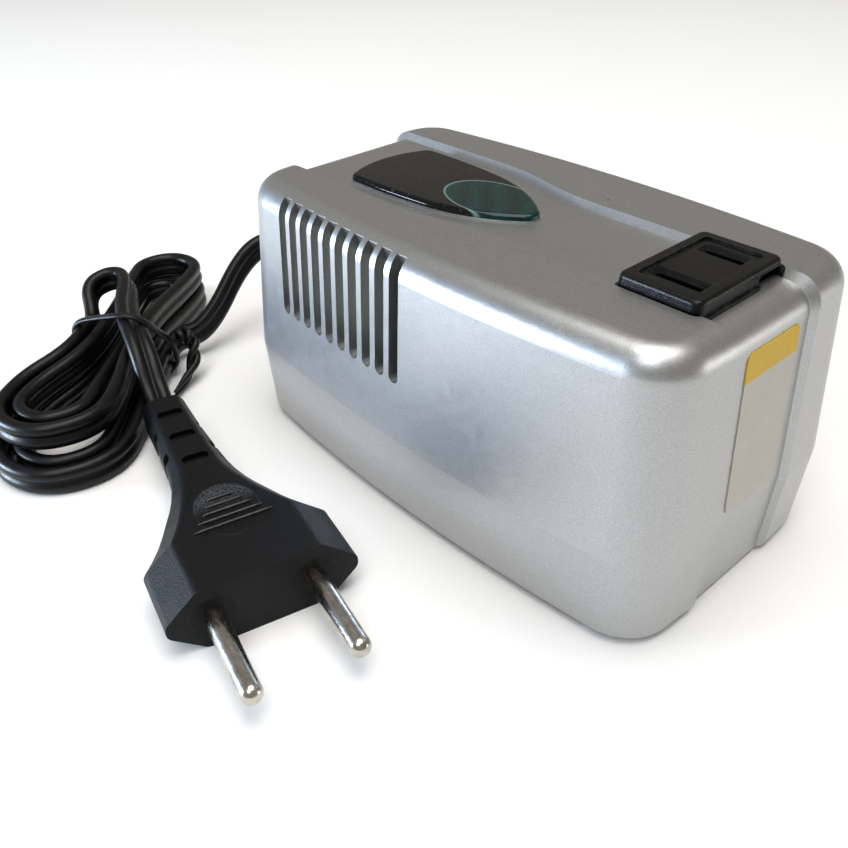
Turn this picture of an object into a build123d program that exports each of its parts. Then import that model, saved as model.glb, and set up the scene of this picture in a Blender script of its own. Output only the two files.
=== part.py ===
from build123d import *
from math import cos, degrees, radians, sin, sqrt, tan
import os

os.makedirs("parts", exist_ok=True)

# A travel voltage converter: a silver two-piece case around a small transformer, a two-slot
# outlet on top, and a flat twin mains lead that is folded into a tied hank and ends in a
# two-pin plug. All lengths are millimetres. X runs along the case towards the outlet end,
# Y across it, Z up. The origin is on the surface under the middle of the case.

# Case
body_length = 114.7
body_width = 65.4
body_height = 57.5
seam_height = 19.3
side_bulge = 3.65
end_bulge = 1.25
corner_radius = 10.0
top_round = 5.2
bottom_round = 1.6
wall = 2.2
cover_slope_share = 0.060
base_slope_share = 0.048
cut_overrun = 3.0
foot_height = 1.0
foot_inset = 1.6
foot_reach = 13.0

# Recessed band that runs up one end, along the top and down the other end
band_depth = 1.4
band_front_half = 11.0
band_back_half = 14.9
band_flare_share = 0.7
band_back_end = 20.0
band_front_start = 9.0

# Tongue of the base inside the cover
tongue_thick = 1.0
tongue_gap = 0.15
tongue_height = 2.0

# Vent slots, in both long sides
vent_count = 10
vent_width = 2.6
vent_pitch = 4.06
vent_first_x = -37.9
vent_length = 24.5
vent_top_drop = 1.1
vent_shoulder_drop = 0.9
vent_back_slope = 1.1
vent_cut_depth = 11.0
barrier_thick = 0.5
barrier_stand_off = 8.4
barrier_margin = 2.6
barrier_top_gap = 0.7
barrier_rib_gap = 0.1
barrier_rib_thick = 1.2
barrier_rib_height = 4.0

# Case screws and their bosses
screw_end_inset = 10.85
screw_side_inset = 13.2
boss_radius = 3.6
base_boss_radius = 4.6
screw_shank = 1.45
screw_hole = 1.55
screw_length = 20.0
screw_head_radius = 2.9
screw_head_height = 2.2
screw_head_seat = 8.0
head_clearance = 0.3
drive_width = 1.0
drive_length = 3.6
drive_depth = 1.1

# Transformer
core_end_gap = 6.35
core_headroom = 4.2
core_side_gap = 2.9
lam_share = 0.07847
core_lift = 1.5
core_rib_width = 6.0
core_gap = 0.1
bobbin_wall = 0.9
bobbin_gap = 0.2
bobbin_flange = 1.0
bobbin_window_gap = 0.8
winding_gap = 0.1
winding_margin = 1.6
winding_round = 3.0
primary_share = 0.56
tape_thick = 0.3
bracket_thick = 1.0
bracket_inset = 4.0
bracket_tab = 8.0
bracket_boss_radius = 4.2
bracket_screw_depth = 2.6
tag_width = 1.4
tag_thick = 0.6
tag_height = 4.0
tag_spread = 11.0
fuse_radius = 1.5
fuse_length = 9.0
fuse_lead_radius = 0.4
fuse_lead_length = 5.0

# Outlet
outlet_end_inset = 17.75
outlet_length = 16.0
outlet_width = 24.4
outlet_rise = 3.3
outlet_taper = 0.25
outlet_round = 0.8
outlet_corner = 1.6
flange_margin = 0.5
flange_thick = 0.7
outlet_neck_margin = 1.3
outlet_depth = 15.0
outlet_gap = 0.15
outlet_dish = 0.4
outlet_rim = 2.4
slot_spacing = 12.7
slot_width = 2.0
slot_short = 7.0
slot_long = 8.6
slot_mouth = 0.8
notch_width = 6.8
notch_height = 2.1
notch_depth = 2.2
notch_offset = 7.8
notch_round = 1.0
latch_reach = 1.0
latch_length = 6.0
latch_height = 3.0
contact_pocket_length = 9.6
contact_pocket_width = 5.2
contact_thick = 0.5
contact_gap = 1.5
contact_height = 9.0
contact_drop = 5.0
contact_width = 6.0
rear_cap_thick = 1.6
tab_length = 5.0

# Badge on the top and blank label on the outlet end
badge_back_x = -40.9
badge_tip_x = 5.7
badge_corner_x = -37.8
badge_half = 11.5
badge_half_middle = 10.6
badge_middle_x = -15.5
badge_corner = 2.6
badge_plate_thick = 0.4
badge_rim = 0.25
badge_dome_thick = 1.1
badge_dome_round = 0.95
label_width = 15.5
label_top_drop = 6.1
label_low = 20.4
label_y = 0.5
label_corner = 1.5
label_thick = 0.2

# Lead: a flat twin cord whose two conductors lie side by side
cord_width = 6.4
cord_thick = 3.4
boot_length = 18.0
boot_width = 8.0
boot_height = 10.6
boot_tip_width = 4.8
boot_tip_height = 7.8
boot_round = 2.2
collar_thick = 2.0
collar_width = 12.0
bush_gap = 0.2
bush_tail = 1.5
boot_grooves = 3
boot_groove_width = 1.6
boot_web = 6.6

# Free stretches of the cord: from the boot to the hank and from the hank to the plug
bend_share = 0.45
feed_run = 10.0
feed_end_run = 7.0
feed_places = [(-89.5, -9.0, 22.5), (-85.5, -25.5, 7.0)]
tail_run = 3.0
tail_end_run = 5.4
tail_over_y = 3.4
tail_over_height = 19.8
tail_places = [
    (-14.5, -11.6, 17.6), (-20.0, -7.4, 18.7), (-18.6, -1.6, 18.8), (0.0, 3.4, 19.8),
    (13.0, 11.0, 18.8),
]

# Hank: four loops in two layers, drawn in at the waist where a tie holds them
hank_x = -89.7
hank_y = -48.3
hank_heading = -45.0
hank_half = 15.5
hank_step = 2.25
hank_far_inset = 1.8
hank_near_length = 32.0
hank_near_inset = 4.0
hank_far_length = 38.0
hank_shift = -3.7
waist_half = 10.75
waist_step = 2.35
waist_lift = 2.0
layer_gap = 0.8
hank_sides = 8
hank_climb = 4
hank_run = 4.0
gap_sample = 1.0
gap_skip = 14.0
tie_radius = 0.8
tie_gap = 0.25
tie_corner = 2.4
tie_knot_radius = 2.3
tie_knot_length = 5.0
tie_end_length = 7.0

# Plug
plug_x = 5.65
plug_y = -68.73
plug_heading = -13.22
plug_width = 36.0
plug_height = 13.8
plug_length = 64.5
plug_edge = 2.2
plug_shape_shares = [
    (1.0, 0.270, 0.170, 0.420, 0.72), (0.82, 0.284, 0.177, 0.420, 0.73),
    (0.68, 0.314, 0.193, 0.420, 0.74), (0.58, 0.345, 0.210, 0.420, 0.76),
    (0.53, 0.381, 0.233, 0.390, 0.79), (0.48, 0.440, 0.270, 0.340, 0.84),
    (0.435, 0.513, 0.311, 0.304, 0.885), (0.39, 0.600, 0.360, 0.270, 0.93),
    (0.345, 0.685, 0.415, 0.237, 0.97), (0.30, 0.780, 0.480, 0.210, 1.0),
    (0.26, 0.882, 0.553, 0.193, 1.0), (0.22, 1.0, 0.640, 0.180, 1.0), (0.0, 1.0, 0.640, 0.180, 1.0),
]
pin_spacing = 19.0
pin_radius = 2.0
pin_length = 20.5
pin_root_radius = 1.6
pin_root_length = 7.5
carrier_disc_radius = 4.3
carrier_depth = 9.0
carrier_height = 7.0
carrier_bridge = 2.5
relief_slot_length = 5.6
relief_slot_width = 2.6
relief_slot_depth = 1.1
relief_first = 38.8
relief_pitch = 9.3
relief_rows = 3
relief_height_share = 0.74
relief_side = 5.6

# Internal leads
lead_radius = 0.8
lead_apart = 1.6
lead_start_run = 5.0
lead_clear = 3.2

# Places that several pieces share
floor_top = foot_height + wall
band_floor = body_height - band_depth
ceiling = band_floor - wall
band_end_x = body_length / 2 - band_depth
boss_top = seam_height
exit_height = seam_height + boot_height / 2
vent_high = body_height - vent_top_drop
vent_low = vent_high - vent_length
vent_shoulder = ceiling - vent_shoulder_drop
barrier_height = ceiling - floor_top - barrier_top_gap
screw_x = body_length / 2 - screw_end_inset
screw_y = body_width / 2 - screw_side_inset
lam_unit = lam_share * body_length
core_bottom = floor_top + core_lift
lam_rise = (ceiling - core_bottom - core_headroom) / 5
core_top = core_bottom + 5 * lam_rise
winding_low = core_bottom + lam_rise
core_x = core_end_gap + bracket_tab + bracket_thick + 3 * lam_unit - body_length / 2
bobbin_reach = lam_unit - bobbin_window_gap
winding_fill = bobbin_reach - winding_margin
core_stack = body_width - 2 * (barrier_stand_off + core_side_gap + bobbin_gap + bobbin_reach)
bracket_width = core_stack - 2 * bracket_inset
outlet_x = body_length / 2 - outlet_end_inset
label_height = body_height - label_top_drop - label_low
outlet_top = band_floor + outlet_rise
hank_low = cord_width / 2
hank_high = hank_low + cord_width + layer_gap
plug_axis = plug_height / 2


def draft(height):
    """How far the case walls lean in at a height, measured from the seam."""
    if height >= seam_height:
        return cover_slope_share * (height - seam_height)
    return base_slope_share * (seam_height - height)


def block(size_x, size_y, low, high, x=0, y=0):
    """Upright box between two heights, centred on x and y."""
    return Pos(x, y, (low + high) / 2) * Box(size_x, size_y, high - low)


def post(radius, low, high, x=0, y=0):
    """Upright cylinder between two heights."""
    return Pos(x, y, (low + high) / 2) * Cylinder(radius, high - low)


def rounded_block(size_x, size_y, low, high, radius, x=0, y=0):
    """Upright box with rounded corners in plan."""
    outline = Plane.XY.offset(low) * Pos(x, y) * RectangleRounded(size_x, size_y, radius)
    return extrude(outline, high - low)


def group(shapes):
    """One node that holds separate solids."""
    solids = [solid for shape in shapes for solid in shape.solids()]
    return Compound(solids) if len(solids) > 1 else solids[0]


# Case shells

def barrel_outline(inset_x, inset_y, radius, height):
    """Plan of the case: four bowed sides with rounded corners."""
    middle_x = body_length / 2 - inset_x
    middle_y = body_width / 2 - inset_y
    post_x = middle_x - end_bulge
    post_y = middle_y - side_bulge
    with BuildSketch(Plane.XY.offset(height)) as outline:
        with BuildLine():
            ThreePointArc((-post_x, -post_y), (0, -middle_y), (post_x, -post_y))
            ThreePointArc((post_x, -post_y), (middle_x, 0), (post_x, post_y))
            ThreePointArc((post_x, post_y), (0, middle_y), (-post_x, post_y))
            ThreePointArc((-post_x, post_y), (-middle_x, 0), (-post_x, -post_y))
        make_face()
        fillet(outline.vertices(), radius)
    return outline.sketch.face()


def barrel(inset_x, inset_y, radius, low, high):
    """Case form between two heights, with the walls leaning as the case does."""
    sections = []
    for height in (low, high):
        lean = draft(height)
        sections.append(barrel_outline(inset_x + lean, inset_y + lean, radius, height))
    return loft(sections, ruled=True)


def band_floor_x(height):
    """Floor of the recessed band on the outlet end, at a height."""
    return band_end_x - cover_slope_share * (height - seam_height)


def band_section(start, heading, half):
    """Cross-section of the band's cutter, wider outwards than at its floor."""
    rise = band_depth + cut_overrun
    spread = rise * band_flare_share
    plane = Plane(origin=start, x_dir=(0, 1, 0), z_dir=heading)
    return plane * make_face(
        Polyline((-half, 0), (half, 0), (half + spread, -rise), (-half - spread, -rise), close=True)
    )


def band_sweep(points, half):
    """Band cutter of one width along a path up an end and over the top."""
    path = FilletPolyline(*points, radius=top_round)
    heading = Vector(*points[1]) - Vector(*points[0])
    return sweep(band_section(points[0], heading.normalized(), half), path=path)


def band_taper():
    """Band cutter where its edges curve from the wide back to the narrow front."""
    start = -band_back_end - cut_overrun
    faces = []
    for height, extra in ((band_floor, 0), (band_floor + band_depth + cut_overrun, 1)):
        spread = extra * (band_depth + cut_overrun) * band_flare_share
        wide = band_back_half + spread
        narrow = band_front_half + spread
        middle = Vector((band_front_start - band_back_end) / 2, (wide + narrow) / 2)
        with BuildSketch(Plane.XY.offset(height)) as outline:
            with BuildLine():
                for side in (1, -1):
                    first = Vector(start, side * wide)
                    turn = Vector(-band_back_end, side * wide)
                    centre = Vector(middle.X, side * middle.Y)
                    last = Vector(band_front_start, side * narrow)
                    Line(first, turn)
                    bend = TangentArc(turn, centre, tangent=(1, 0))
                    TangentArc(centre, last, tangent=bend % 1)
                Line((start, wide), (start, -wide))
                Line((band_front_start, narrow), (band_front_start, -narrow))
            make_face()
        faces.append(outline.sketch.face())
    return loft(faces, ruled=True)


def cover_band():
    """Everything that the recessed band takes out of the cover."""
    low = seam_height - cut_overrun
    front = (band_floor_x(low), 0, low)
    front_top = (band_floor_x(band_floor), 0, band_floor)
    back_top = (-band_floor_x(band_floor), 0, band_floor)
    back = (-band_floor_x(low), 0, low)
    cuts = band_sweep([front, front_top, back_top, back], band_front_half)
    cuts += band_sweep([(-band_back_end, 0, band_floor), back_top, back], band_back_half)
    return cuts + band_taper()


def base_band():
    """The band where it runs on down both ends of the base."""
    cuts = []
    low = foot_height - cut_overrun
    high = seam_height + cut_overrun
    for side, half in ((1, band_front_half), (-1, band_back_half)):
        faces = []
        for height in (low, high):
            floor_x = band_end_x - base_slope_share * (seam_height - height)
            rise = band_depth + cut_overrun
            spread = rise * band_flare_share
            outline = make_face(
                Polyline(
                    (side * floor_x, -half),
                    (side * floor_x, half),
                    (side * (floor_x + rise), half + spread),
                    (side * (floor_x + rise), -half - spread),
                    close=True,
                )
            )
            faces.append(Plane.XY.offset(height) * outline)
        cuts.append(loft([face.face() for face in faces], ruled=True))
    return cuts


def vent_back(x):
    """Where the back of a vent runs out of the rounded top edge, measured from the middle."""
    bow = side_bulge * (2 * x / body_length) ** 2
    run_in = top_round - sqrt(top_round ** 2 - (top_round - vent_top_drop) ** 2)
    return body_width / 2 - draft(body_height) - bow - run_in


def vent_cutters():
    """Slots through both long sides, with round bottoms and a sloping back above them."""
    half = vent_width / 2
    inner = body_width / 2 - vent_cut_depth
    outer = body_width / 2 + cut_overrun
    cuts = []
    for index in range(vent_count):
        x = vent_first_x + index * vent_pitch
        back = vent_back(x)
        with BuildSketch(Plane.XZ.offset(inner)) as outline:
            with BuildLine():
                ThreePointArc((x - half, vent_low + half), (x, vent_low), (x + half, vent_low + half))
                Polyline((x + half, vent_low + half), (x + half, vent_shoulder),
                         (x - half, vent_shoulder), (x - half, vent_low + half))
            make_face()
        cut = extrude(outline.sketch, outer - inner)
        # Over the slot, the rounded edge is cut away down to the back
        profile = make_face(Polyline(
            (vent_back_slope - back, vent_shoulder), (-back, vent_high), (-back, body_height),
            (-outer, body_height), (-outer, vent_shoulder), close=True))
        cut += extrude(Plane.YZ.offset(x - half) * profile, vent_width)
        cuts += [cut, mirror(cut, Plane.XZ)]
    return cuts


def corner_places(x, y):
    return [(side_x * x, side_y * y) for side_x in (-1, 1) for side_y in (-1, 1)]


def top_cover():
    outer = barrel(0, 0, corner_radius, seam_height, body_height)
    outer = fillet(outer.faces().sort_by(Axis.Z)[-1].edges(), top_round)
    end_inset = wall + band_depth
    cavity = barrel(end_inset, wall, corner_radius - wall, seam_height, ceiling)
    cavity = fillet(cavity.faces().sort_by(Axis.Z)[-1].edges(), top_round - wall)
    shell = outer - cover_band() - cavity
    for x, y in corner_places(screw_x, screw_y):
        shell += post(boss_radius, boss_top, ceiling + wall / 2, x, y)
    for x, y in corner_places(screw_x, screw_y):
        shell -= post(screw_hole, boss_top - cut_overrun, screw_head_seat + screw_length + wall, x, y)
    for cut in vent_cutters():
        shell -= cut
    # The outlet drops through the band, in a shallow seat wider than the band
    seat_x = outlet_length + 2 * (flange_margin + outlet_gap)
    seat_y = outlet_width + 2 * (flange_margin + outlet_gap)
    shell -= rounded_block(
        seat_x, seat_y, band_floor, body_height + cut_overrun, outlet_corner + flange_margin, outlet_x
    )
    hole_x = outlet_length - 2 * (outlet_neck_margin - outlet_gap)
    hole_y = outlet_width - 2 * (outlet_neck_margin - outlet_gap)
    shell -= block(hole_x, hole_y, ceiling - cut_overrun, body_height, outlet_x)
    # Notch for the lead's bush, closed below by the base
    notch_y = boot_width + 2 * bush_gap
    shell -= block(
        2 * (end_inset + cut_overrun), notch_y, seam_height - cut_overrun,
        seam_height + boot_height + bush_gap, -body_length / 2
    )
    return shell.solid()


def base_shell():
    outer = barrel(0, 0, corner_radius, foot_height, seam_height)
    outer = fillet(outer.faces().sort_by(Axis.Z)[0].edges(), bottom_round)
    inset_x = wall + band_depth + tongue_gap + tongue_thick
    inset_y = wall + tongue_gap + tongue_thick
    cavity_radius = corner_radius - inset_y
    cavity = barrel(inset_x, inset_y, cavity_radius, floor_top, seam_height)
    shell = outer
    for cut in base_band():
        shell -= cut
    for x, y in corner_places(body_length / 2 - end_bulge, body_width / 2 - side_bulge):
        lean = draft(foot_height) + foot_inset
        pad = extrude(barrel_outline(lean, lean, corner_radius - foot_inset, 0), foot_height + bottom_round)
        shell += pad & post(foot_reach, 0, foot_height + bottom_round, x, y)
    shell -= cavity
    # Tongue that lines the cover up with the base
    tongue_x = wall + band_depth + tongue_gap
    tongue_y = wall + tongue_gap
    ring = extrude(barrel_outline(tongue_x + draft(seam_height + tongue_height),
                                  tongue_y + draft(seam_height + tongue_height),
                                  corner_radius - tongue_y, seam_height), tongue_height)
    ring -= extrude(barrel_outline(inset_x, inset_y, cavity_radius, seam_height), tongue_height)
    ring -= block(2 * (inset_x + cut_overrun), collar_width + 2 * bush_gap, seam_height,
                  seam_height + tongue_height, -body_length / 2)
    shell += ring
    for x, y in corner_places(screw_x, screw_y):
        shell += post(base_boss_radius, floor_top - wall / 2, boss_top, x, y)
    # Ribs under the core, bosses for its bracket and grooved ribs for the vent barriers
    for side in (-1, 1):
        shell += block(core_rib_width, core_stack, floor_top - wall / 2, core_bottom,
                       core_x + side * 2 * lam_unit)
        shell += post(bracket_boss_radius, floor_top - wall / 2, core_bottom, bracket_screw_x(side))
        for end in (-1, 1):
            shell += barrier_rib(side, end)
    for x, y in corner_places(screw_x, screw_y):
        shell -= post(screw_hole, foot_height - cut_overrun, boss_top + cut_overrun, x, y)
        shell -= post(screw_head_radius + head_clearance, -cut_overrun, screw_head_seat, x, y)
    for side in (-1, 1):
        shell -= post(screw_hole, core_bottom - bracket_screw_depth, core_bottom + cut_overrun,
                      bracket_screw_x(side))
    return shell.solid()


def case_screws():
    """Four screws from below, through the base into the cover."""
    screws = []
    head_low = screw_head_seat - screw_head_height
    for x, y in corner_places(screw_x, screw_y):
        screw = post(screw_head_radius, head_low, screw_head_seat, x, y)
        screw += post(screw_shank, screw_head_seat, screw_head_seat + screw_length, x, y)
        for size_x, size_y in ((drive_length, drive_width), (drive_width, drive_length)):
            screw -= block(size_x, size_y, head_low, head_low + drive_depth, x, y)
        screws.append(screw)
    return group(screws)


# Vent barriers

def barrier_y(side):
    return side * (body_width / 2 - barrier_stand_off)


def barrier_span():
    """Where the barriers start and end along X."""
    return (vent_first_x - barrier_margin,
            vent_first_x + (vent_count - 1) * vent_pitch + barrier_margin)


def vent_barriers():
    """Stiff insulating sheets that stand behind the vents."""
    first, last = barrier_span()
    sheets = []
    for side in (-1, 1):
        sheets.append(block(last - first, barrier_thick, floor_top, floor_top + barrier_height,
                            (first + last) / 2, barrier_y(side)))
    return group(sheets)


def barrier_rib(side, end):
    """A U-shaped rib on the base that holds one end of a barrier."""
    first, last = barrier_span()
    x = first if end < 0 else last
    width = barrier_thick + 2 * (barrier_rib_gap + barrier_rib_thick)
    rib = block(2 * barrier_rib_thick, width, floor_top - wall / 2, floor_top + barrier_rib_height,
                x, barrier_y(side))
    return rib - block(last - first + 2 * barrier_rib_gap, barrier_thick + 2 * barrier_rib_gap,
                       floor_top, floor_top + barrier_rib_height, (first + last) / 2, barrier_y(side))


# Transformer

def core_plate(low, high):
    return block(6 * lam_unit, core_stack, low, high, core_x)


def core_e_stack():
    """E-shaped laminations, pressed into one stack, legs up."""
    stack = core_plate(core_bottom, core_bottom + 4 * lam_rise)
    for side in (-1, 1):
        stack -= block(lam_unit, core_stack, winding_low, core_bottom + 4 * lam_rise,
                       core_x + side * 3 * lam_unit / 2)
    return stack.solid()


def core_i_stack():
    """I-shaped laminations that close the core."""
    return core_plate(core_bottom + 4 * lam_rise, core_top).solid()


def coil_ring(inner_gap, reach, low, high, corner):
    """Rounded rectangular ring around the middle leg."""
    inner_x = 2 * lam_unit + 2 * inner_gap
    inner_y = core_stack + 2 * inner_gap
    ring = rounded_block(inner_x + 2 * reach, inner_y + 2 * reach, low, high, corner, core_x)
    return ring - block(inner_x, inner_y, low, high, core_x)


def bobbin_heights():
    """Bottom, both faces of the middle flange and top of the winding space."""
    low = winding_low + core_gap
    high = winding_low + 3 * lam_rise - core_gap
    inside = high - low - 3 * bobbin_flange
    middle = low + bobbin_flange + inside * primary_share
    return low, middle, middle + bobbin_flange, high


def bobbin():
    low, middle_low, middle_high, high = bobbin_heights()
    form = coil_ring(bobbin_gap, bobbin_wall, low, high, bobbin_wall / 2)
    reach = bobbin_reach
    for flange_low in (low, middle_low, high - bobbin_flange):
        form += coil_ring(bobbin_gap, reach, flange_low, flange_low + bobbin_flange, winding_round)
    for side_x in (-1, 1):
        for side_y in (-1, 1):
            form -= tag_hole(side_x, side_y)
    return form.solid()


def tag_place(side_x, side_y):
    """A solder tag stands in the top flange, outside the core."""
    reach = core_stack / 2 + bobbin_gap + bobbin_reach - 2 * tag_width
    return core_x + side_x * tag_spread / 2, side_y * reach


def tag_hole(side_x, side_y):
    x, y = tag_place(side_x, side_y)
    high = bobbin_heights()[3]
    return block(tag_width, tag_thick, high - bobbin_flange, high, x, y)


def bobbin_tags():
    """Solder tags that the windings and the internal leads end on."""
    high = bobbin_heights()[3]
    tags = []
    for side_x in (-1, 1):
        for side_y in (-1, 1):
            x, y = tag_place(side_x, side_y)
            tags.append(block(tag_width, tag_thick, high - bobbin_flange, high + tag_height, x, y))
    return group(tags)


def winding(low, high):
    inner = bobbin_gap + bobbin_wall + winding_gap
    return coil_ring(inner, winding_fill - bobbin_wall - winding_gap - tape_thick, low + winding_gap,
                     high - winding_gap, winding_round)


def primary_winding():
    low, middle_low, middle_high, high = bobbin_heights()
    return winding(low + bobbin_flange, middle_low).solid()


def secondary_winding():
    low, middle_low, middle_high, high = bobbin_heights()
    return winding(middle_high, high - bobbin_flange).solid()


def winding_tapes():
    """Tape wrapped once round each winding."""
    low, middle_low, middle_high, high = bobbin_heights()
    outer = bobbin_gap + winding_fill - tape_thick
    tapes = []
    for start, end in ((low + bobbin_flange, middle_low), (middle_high, high - bobbin_flange)):
        base = start + winding_gap
        top = end - winding_gap
        size_x = 2 * lam_unit + 2 * outer
        size_y = core_stack + 2 * outer
        tape = rounded_block(size_x + 2 * tape_thick, size_y + 2 * tape_thick, base, top,
                             winding_round + tape_thick, core_x)
        tapes.append(tape - rounded_block(size_x, size_y, base, top, winding_round, core_x))
    return group(tapes)


def bracket_screw_x(side):
    return core_x + side * (3 * lam_unit + bracket_thick + bracket_tab / 2)


def core_bracket():
    """Steel strap over the core with a foot at each end."""
    outer = 6 * lam_unit + 2 * bracket_thick
    strap = block(outer, bracket_width, core_bottom, core_top + bracket_thick, core_x)
    strap -= block(6 * lam_unit, bracket_width, core_bottom, core_top, core_x)
    for side in (-1, 1):
        x = bracket_screw_x(side)
        strap += block(bracket_tab + bracket_thick, bracket_width, core_bottom,
                       core_bottom + bracket_thick, x - side * bracket_thick / 2)
        strap -= post(screw_hole, core_bottom, core_bottom + bracket_thick, x)
    return strap.solid()


def bracket_screws():
    screws = []
    seat = core_bottom + bracket_thick
    for side in (-1, 1):
        x = bracket_screw_x(side)
        screw = post(screw_head_radius, seat, seat + screw_head_height, x)
        screw += post(screw_shank, core_bottom - bracket_screw_depth, seat, x)
        top = seat + screw_head_height
        for size_x, size_y in ((drive_length, drive_width), (drive_width, drive_length)):
            screw -= block(size_x, size_y, top - drive_depth, top, x)
        screws.append(screw)
    return group(screws)


def fuse_place():
    """The thermal fuse lies on the tape of the upper winding, on the +Y side."""
    middle_high, high = bobbin_heights()[2:]
    y = core_stack / 2 + bobbin_gap + winding_fill + fuse_radius
    return core_x, y, (middle_high + high - bobbin_flange) / 2


def thermal_fuse():
    x, y, z = fuse_place()
    fuse = Pos(x, y, z) * Rot(0, 90, 0) * Cylinder(fuse_radius, fuse_length)
    fuse += Pos(x, y, z) * Rot(0, 90, 0) * Cylinder(fuse_lead_radius, fuse_length + 2 * fuse_lead_length)
    return fuse.solid()


# Outlet

def outlet_neck():
    """Sizes of the outlet's body below the panel."""
    return outlet_length - 2 * outlet_neck_margin, outlet_width - 2 * outlet_neck_margin


def outlet_bottom():
    return band_floor - outlet_depth


def slot_sides():
    """Side and length of each slot; the far one is the shorter."""
    return ((1, slot_short), (-1, slot_long))


def outlet_housing():
    flange_x = outlet_length + 2 * flange_margin
    flange_y = outlet_width + 2 * flange_margin
    body = rounded_block(flange_x, flange_y, band_floor, band_floor + flange_thick,
                         outlet_corner + flange_margin, outlet_x)
    low = Plane.XY.offset(band_floor + flange_thick) * Pos(outlet_x, 0)
    high = Plane.XY.offset(outlet_top) * Pos(outlet_x, 0)
    cap = loft([
        (low * RectangleRounded(outlet_length, outlet_width, outlet_corner)).face(),
        (high * RectangleRounded(outlet_length - 2 * outlet_taper, outlet_width - 2 * outlet_taper,
                                 outlet_corner)).face(),
    ], ruled=True)
    cap = fillet(cap.faces().sort_by(Axis.Z)[-1].edges(), outlet_round)
    body += cap
    neck_x, neck_y = outlet_neck()
    body += block(neck_x, neck_y, outlet_bottom(), band_floor, outlet_x)
    # Two latches that spring out below the panel
    for side in (-1, 1):
        latch_top = ceiling - outlet_gap
        latch = make_face(Polyline(
            (side * neck_y / 2, latch_top), (side * (neck_y / 2 + latch_reach), latch_top),
            (side * neck_y / 2, latch_top - latch_height), close=True))
        body += extrude(Plane.YZ.offset(outlet_x - latch_length / 2) * latch, latch_length)
    dish_x = outlet_length - 2 * outlet_rim
    dish_y = outlet_width - 2 * outlet_rim
    body -= rounded_block(dish_x, dish_y, outlet_top - outlet_dish, outlet_top, outlet_corner / 2,
                          outlet_x)
    dish = outlet_top - outlet_dish
    for side, length in slot_sides():
        y = side * slot_spacing / 2
        body -= block(length, slot_width, outlet_bottom(), dish, outlet_x, y)
        mouth_low = (Plane.XY.offset(dish - slot_mouth) * Pos(outlet_x, y)
                     * Rectangle(length, slot_width)).face()
        mouth_high = (Plane.XY.offset(dish) * Pos(outlet_x, y)
                      * Rectangle(length + 2 * slot_mouth, slot_width + 2 * slot_mouth)).face()
        body -= loft([mouth_low, mouth_high], ruled=True)
        body -= block(contact_pocket_length, contact_pocket_width, outlet_bottom(),
                      contact_top() + contact_gap, outlet_x, y)
    # Arched notch under the outer wall, for lifting the outlet out
    arch = Plane.YZ.offset(outlet_x + outlet_length / 2 + flange_margin - notch_depth) * Pos(
        notch_offset, band_floor) * RectangleRounded(notch_width, 2 * notch_height, notch_round)
    body -= extrude(arch, 2 * notch_depth) - block(
        4 * notch_depth, 2 * notch_width, band_floor - notch_height, band_floor,
        outlet_x + outlet_length / 2, notch_offset)
    return body.solid()


def contact_top():
    return outlet_bottom() + rear_cap_thick + contact_height


def outlet_contacts():
    """Two sprung brass clips, each folded from one strip, with a solder tab below."""
    clips = []
    low = outlet_bottom() + rear_cap_thick
    for side in (-1, 1):
        y = side * slot_spacing / 2
        outer = contact_gap + 2 * contact_thick
        clip = block(contact_width, outer, low, contact_top(), outlet_x, y)
        clip -= block(contact_width, contact_gap, low + contact_thick, contact_top(), outlet_x, y)
        clip += block(contact_width / 2, contact_thick, outlet_bottom() - contact_drop, low,
                      outlet_x, y)
        clips.append(clip)
    return group(clips)


def outlet_rear_cap():
    """Insulating plate that closes the outlet's back, with a slit for each tab."""
    neck_x, neck_y = outlet_neck()
    low = outlet_bottom() - rear_cap_thick
    cap = block(neck_x, neck_y, low, outlet_bottom(), outlet_x)
    for side in (-1, 1):
        y = side * slot_spacing / 2
        cap += block(contact_pocket_length - 2 * outlet_gap, contact_pocket_width - 2 * outlet_gap,
                     outlet_bottom(), outlet_bottom() + rear_cap_thick, outlet_x, y)
        cap -= block(contact_width / 2, contact_thick, low, outlet_bottom() + rear_cap_thick,
                     outlet_x, y)
    return cap.solid()


# Badge and label

def badge_outline(inset, height):
    """Shield outline: broad bowed back edge, sides that curve in to a rounded tip."""
    corner = (badge_corner_x + inset, badge_half - inset)
    middle = (badge_middle_x, badge_half_middle - inset)
    quarter = ((badge_corner_x + badge_middle_x) / 2, badge_half - inset)
    tip = (badge_tip_x - inset, 0)
    back = (badge_back_x + inset, 0)
    with BuildSketch(Plane.XY.offset(height)) as outline:
        with BuildLine():
            for side in (1, -1):
                flank = ThreePointArc((corner[0], side * corner[1]), (quarter[0], side * quarter[1]),
                                      (middle[0], side * middle[1]))
                TangentArc((middle[0], side * middle[1]), tip, tangent=flank % 1)
            ThreePointArc((corner[0], corner[1]), back, (corner[0], -corner[1]))
        make_face()
        fillet(outline.vertices().filter_by(lambda v: abs(v.X - middle[0]) > badge_corner), badge_corner)
    return outline.sketch.face()


def badge_plate():
    """Printed plate in the band; its edge shows as a light rim."""
    return extrude(badge_outline(0, band_floor), badge_plate_thick).solid()


def badge_dome():
    """Clear resin dome over the plate."""
    low = band_floor + badge_plate_thick
    dome = extrude(badge_outline(badge_rim, low), badge_dome_thick)
    return fillet(dome.faces().sort_by(Axis.Z)[-1].edges(), badge_dome_round).solid()


def end_label():
    """Blank sticker on the outlet end, on the sloping floor of the band."""
    middle = label_low + label_height / 2
    normal = Vector(1, 0, cover_slope_share).normalized()
    plane = Plane(origin=(band_floor_x(middle), label_y, middle), x_dir=(0, 1, 0), z_dir=normal)
    return extrude(plane * RectangleRounded(label_width, label_height, label_corner), label_thick).solid()


# Lead

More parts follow.
